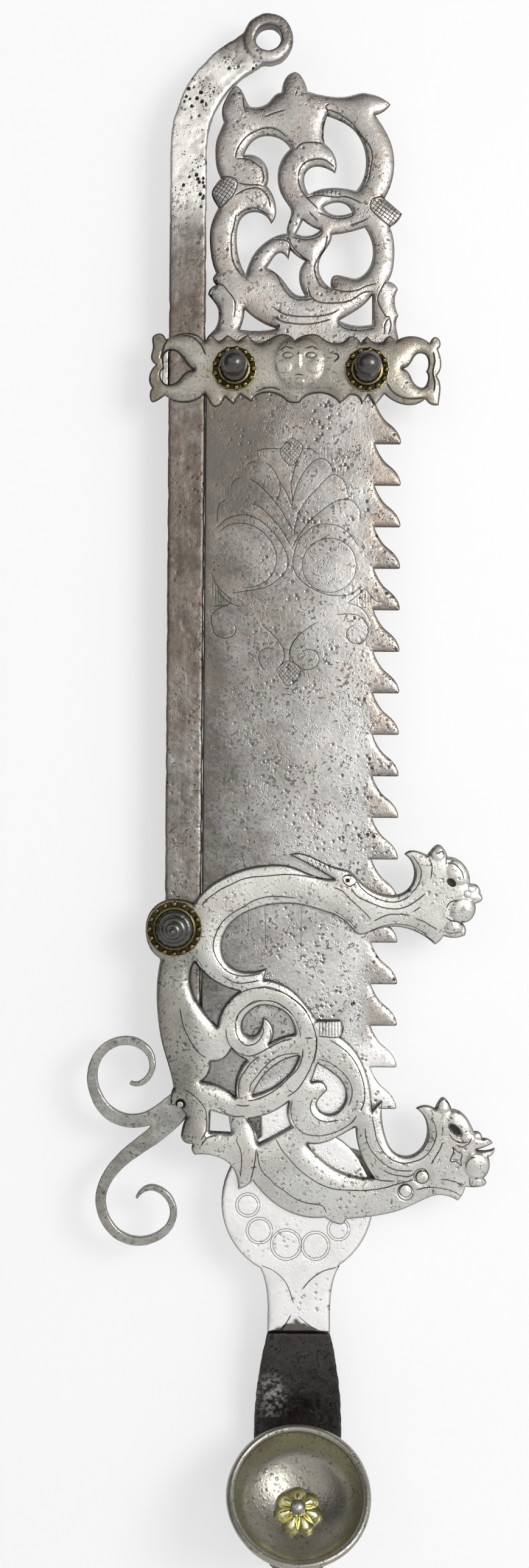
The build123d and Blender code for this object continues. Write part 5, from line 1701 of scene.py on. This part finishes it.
@dataclass(frozen=True)
class Studio:
    """A pale floor, a pale backdrop close behind, soft lamps and the photograph's camera."""

    distance: float = 1.3
    aim: Pixel = (434.5, 1288)
    view: float = math.radians(43.2)
    roll: float = 0.0073
    backdrop: float = 0.031
    floor: float = -1.32
    wall: float = 3.6

    def build(self) -> None:
        """Set up everything that isn't part of the trammel."""
        middle = Vector((0.0, self.backdrop, self.floor + self.wall / 2))
        self.screen("backdrop", (3.0, self.wall), middle, math.radians(90))
        self.screen("floor", (6.0, 6.0), Vector((0.0, self.backdrop - 3.0, self.floor)), 0.0)
        self.world()
        self.lamp("key", Vector((1.1, -1.7, -0.1)), 0.8, 20.0)
        self.lamp("fill", Vector((-1.2, -1.9, 0.2)), 1.4, 5.0)
        self.lamp("back_fill", Vector((0.6, 2.2, 0.4)), 1.6, 18.0)
        self.camera()

    def screen(self, name: str, size: Tuple[float, float], centre: Vector, tilt: float) -> None:
        """Add a flat pale surface that is seen from its front side only."""
        wide, deep = size[0] / 2, size[1] / 2
        turn = Matrix.Translation(centre) @ Matrix.Rotation(tilt, 4, "X")
        corners = [turn @ Vector(p) for p in ((-wide, -deep, 0), (wide, -deep, 0), (wide, deep, 0), (-wide, deep, 0))]
        mesh = bpy.data.meshes.new(name)
        mesh.from_pydata([tuple(c) for c in corners], [], [(0, 1, 2, 3)])
        mesh.materials.append(self.paper(name + "_paper"))
        made = bpy.data.objects.new(name, mesh)
        bpy.context.scene.collection.objects.link(made)

    @staticmethod
    def paper(name: str) -> bpy.types.Material:
        """Make matt near-white paper that can't be seen from behind."""
        made = bpy.data.materials.new(name)
        s = Shader(made)
        grain = s.noise(3.0, 2.0, 0.5)
        colour = s.mix(grain, (0.90, 0.89, 0.90), (0.93, 0.92, 0.925))
        matt = s.node("ShaderNodeBsdfDiffuse", {}, {"Color": colour}).out(0)
        rays = s.node("ShaderNodeLightPath", {}, {})
        seen = (rays.out("Is Camera Ray") + rays.out("Is Glossy Ray") + rays.out("Is Transmission Ray")).clamp()
        glow = s.node("ShaderNodeEmission", {}, {"Color": (1.0, 1.0, 1.0), "Strength": 1.0}).out(0)
        matt = s.node("ShaderNodeMixShader", {}, {0: seen * 0.55, 1: matt, 2: glow}).out(0)
        clear = s.node("ShaderNodeBsdfTransparent", {}, {}).out(0)
        behind = s.node("ShaderNodeNewGeometry", {}, {}).out("Backfacing")
        s.finish(s.node("ShaderNodeMixShader", {}, {0: behind, 1: matt, 2: clear}).out(0))
        return made

    @staticmethod
    def world() -> None:
        """Surround the scene with soft light, brighter towards the lower right front."""
        world = bpy.data.worlds.new("studio")
        bpy.context.scene.world = world
        s = Shader(world)
        place = s.node("ShaderNodeTexCoord", {}, {}).out("Generated")
        toward = s.node("ShaderNodeVectorMath", {"operation": "DOT_PRODUCT"},
                        {0: place, 1: (0.52, -0.84, -0.12)}).out("Value")
        colour = s.mix(toward.step(0.15, 0.97), (0.035, 0.035, 0.04), (1.0, 0.99, 0.97))
        s.finish(s.node("ShaderNodeBackground", {}, {"Color": colour, "Strength": 1.18}).out(0))

    @staticmethod
    def lamp(name: str, place: Vector, size: float, power: float) -> None:
        """Add a soft square lamp that points at the trammel's middle."""
        light = bpy.data.lights.new(name, "AREA")
        light.size = size
        light.energy = power
        made = bpy.data.objects.new(name, light)
        made.location = place
        made.rotation_euler = (Vector((0.0, 0.0, -0.5)) - place).to_track_quat("-Z", "Y").to_euler()
        bpy.context.scene.collection.objects.link(made)

    def camera(self) -> None:
        """Stand the camera where the photograph was taken."""
        x, z = PHOTO.place(self.aim)
        lens = bpy.data.cameras.new("photograph")
        lens.sensor_fit = "VERTICAL"
        lens.sensor_height = 36.0
        lens.lens = 18.0 / math.tan(self.view / 2)
        made = bpy.data.objects.new("photograph", lens)
        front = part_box("saw_blade")[0].y
        made.matrix_world = (Matrix.Translation((x, front - self.distance, z)) @ Matrix.Rotation(math.radians(90), 4, "X")
                             @ Matrix.Rotation(self.roll, 4, "Z"))
        bpy.context.scene.collection.objects.link(made)
        bpy.context.scene.camera = made
        bpy.context.scene.view_settings.view_transform = "Standard"


def bar_patina(points: np.ndarray) -> Dict[str, np.ndarray]:
    """Brighten the bar's hammered bend and brown its middle."""
    z = points[:, 2]
    bend = np.clip((z + 0.125) / (30 * MM), 0, 1) * np.clip((-0.005 - z) / (20 * MM), 0, 1)
    middle = np.clip((-0.13 - z) / (40 * MM), 0, 1) * np.clip((z + 0.47) / (60 * MM), 0, 1)
    return {"tone": 1.05 * bend - 0.12 * middle - 0.32, "brown": 0.6 * middle + 0.15, "pitted": 1.2 * bend - 0.3}


def handle_patina(points: np.ndarray) -> Dict[str, np.ndarray]:
    """Leave the scroll handle a darker grey than the catch."""
    return {"tone": np.full(len(points), -0.26), "pitted": np.full(len(points), -0.3)}


def rivet_patina(points: np.ndarray) -> Dict[str, np.ndarray]:
    """Rub the flush rivets as bright as the catch."""
    return {"tone": np.full(len(points), 0.2)}


def hook_patina_shade_and_sheen(points: np.ndarray) -> Dict[str, np.ndarray]:
    """Darken the hook, dark iron with painted shade where the strap bends away, and leave one bright patch low on its
    left side, worn metal with a painted sheen, broken up into specks.
    """
    place = np.array(PHOTO.place((446, 2305)))
    away = np.linalg.norm((points[:, [0, 2]] - place) * np.array([1.0, 0.6]), axis=1)
    specks = np.array([soft_noise(Vector(point) / (2.6 * MM)) for point in points])
    front = points[:, 1] < np.median(points[away < 12 * MM, 1])
    # The bright patch is worn metal and a painted sheen of the lamp.
    worn = np.clip(1.1 - away / (12 * MM), 0, 1) * np.clip(0.35 + 1.8 * specks, 0, 1) * front
    return {"tone": -0.48 + 1.5 * worn, "pitted": 3.0 * worn}


def trammel() -> List[Placed]:
    """List every piece of the trammel, from the bar outwards."""
    small = {"cell": 0.35 * MM, "smoothing": 3, "dents": 0.05 * MM, "dent_size": 3 * MM}
    return [
        Forging("hanging_bar", Body.BAR, "bar_iron", BAR_IRON, cell=1.05 * MM, smoothing=4, dents=0.35 * MM,
                dent_size=9 * MM, patina_and_shade=bar_patina),
        saw_blade(),
        Forging("pot_hook", Body.BLADE, "hook_iron", HOOK_IRON, smoothing=8, dents=0.3 * MM, patina_and_shade=hook_patina_shade_and_sheen),
        SpunDish("hook_dish", Body.BLADE, "dish_iron", DISH_IRON),
        Rosette("dish_rosette", Body.BLADE, "bright_brass", BRIGHT_BRASS),
        Forging("dish_rivet", Body.BLADE, "bar_iron", BAR_IRON, patina_and_shade=rivet_patina, **small),
        collar_plate(),
        Forging("collar_back_strap", Body.BLADE, "bar_iron", BAR_IRON, dents=0.2 * MM),
        BeadedWasher("collar_washer_left", Body.BLADE, "old_brass", OLD_BRASS, seed=3),
        BeadedWasher("collar_washer_right", Body.BLADE, "old_brass", OLD_BRASS, seed=8),
        DomedRivet("collar_rivet_left", Body.BLADE, "black_iron", BLACK_IRON),
        DomedRivet("collar_rivet_right", Body.BLADE, "black_iron", BLACK_IRON),
        catch_plate(),
        Forging("catch_back_strap", Body.CATCH, "bar_iron", BAR_IRON, cell=0.8 * MM, dents=0.2 * MM),
        Forging("catch_block", Body.CATCH, "bar_iron", BAR_IRON, cell=0.5 * MM, dents=0.1 * MM),
        Forging("catch_rivet_upper", Body.CATCH, "bar_iron", BAR_IRON, patina_and_shade=rivet_patina, **small),
        Forging("catch_rivet_lower", Body.CATCH, "bar_iron", BAR_IRON, patina_and_shade=rivet_patina, **small),
        BeadedWasher("pivot_washer", Body.CATCH, "old_brass", OLD_BRASS, beads=16, seed=5),
        RibbedCone("pivot_rivet", Body.BAR, "black_iron", BLACK_IRON),
        Forging("pivot_back_washer", Body.BAR, "bar_iron", BAR_IRON, **small),
        Forging("scroll_handle", Body.CATCH, "catch_steel", CATCH_STEEL, cell=0.55 * MM, smoothing=9,
                dents=0.15 * MM, patina_and_shade=handle_patina),
        Forging("scroll_rivet", Body.CATCH, "bar_iron", BAR_IRON, **small),
    ]


def main() -> None:
    """Build the trammel's looks round the CAD frame, then the stage."""
    logging.basicConfig(level=logging.INFO, format="%(message)s")
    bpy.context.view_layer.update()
    for piece in trammel():
        piece.build()
    Studio().build()


if __name__ == "__main__":
    main()
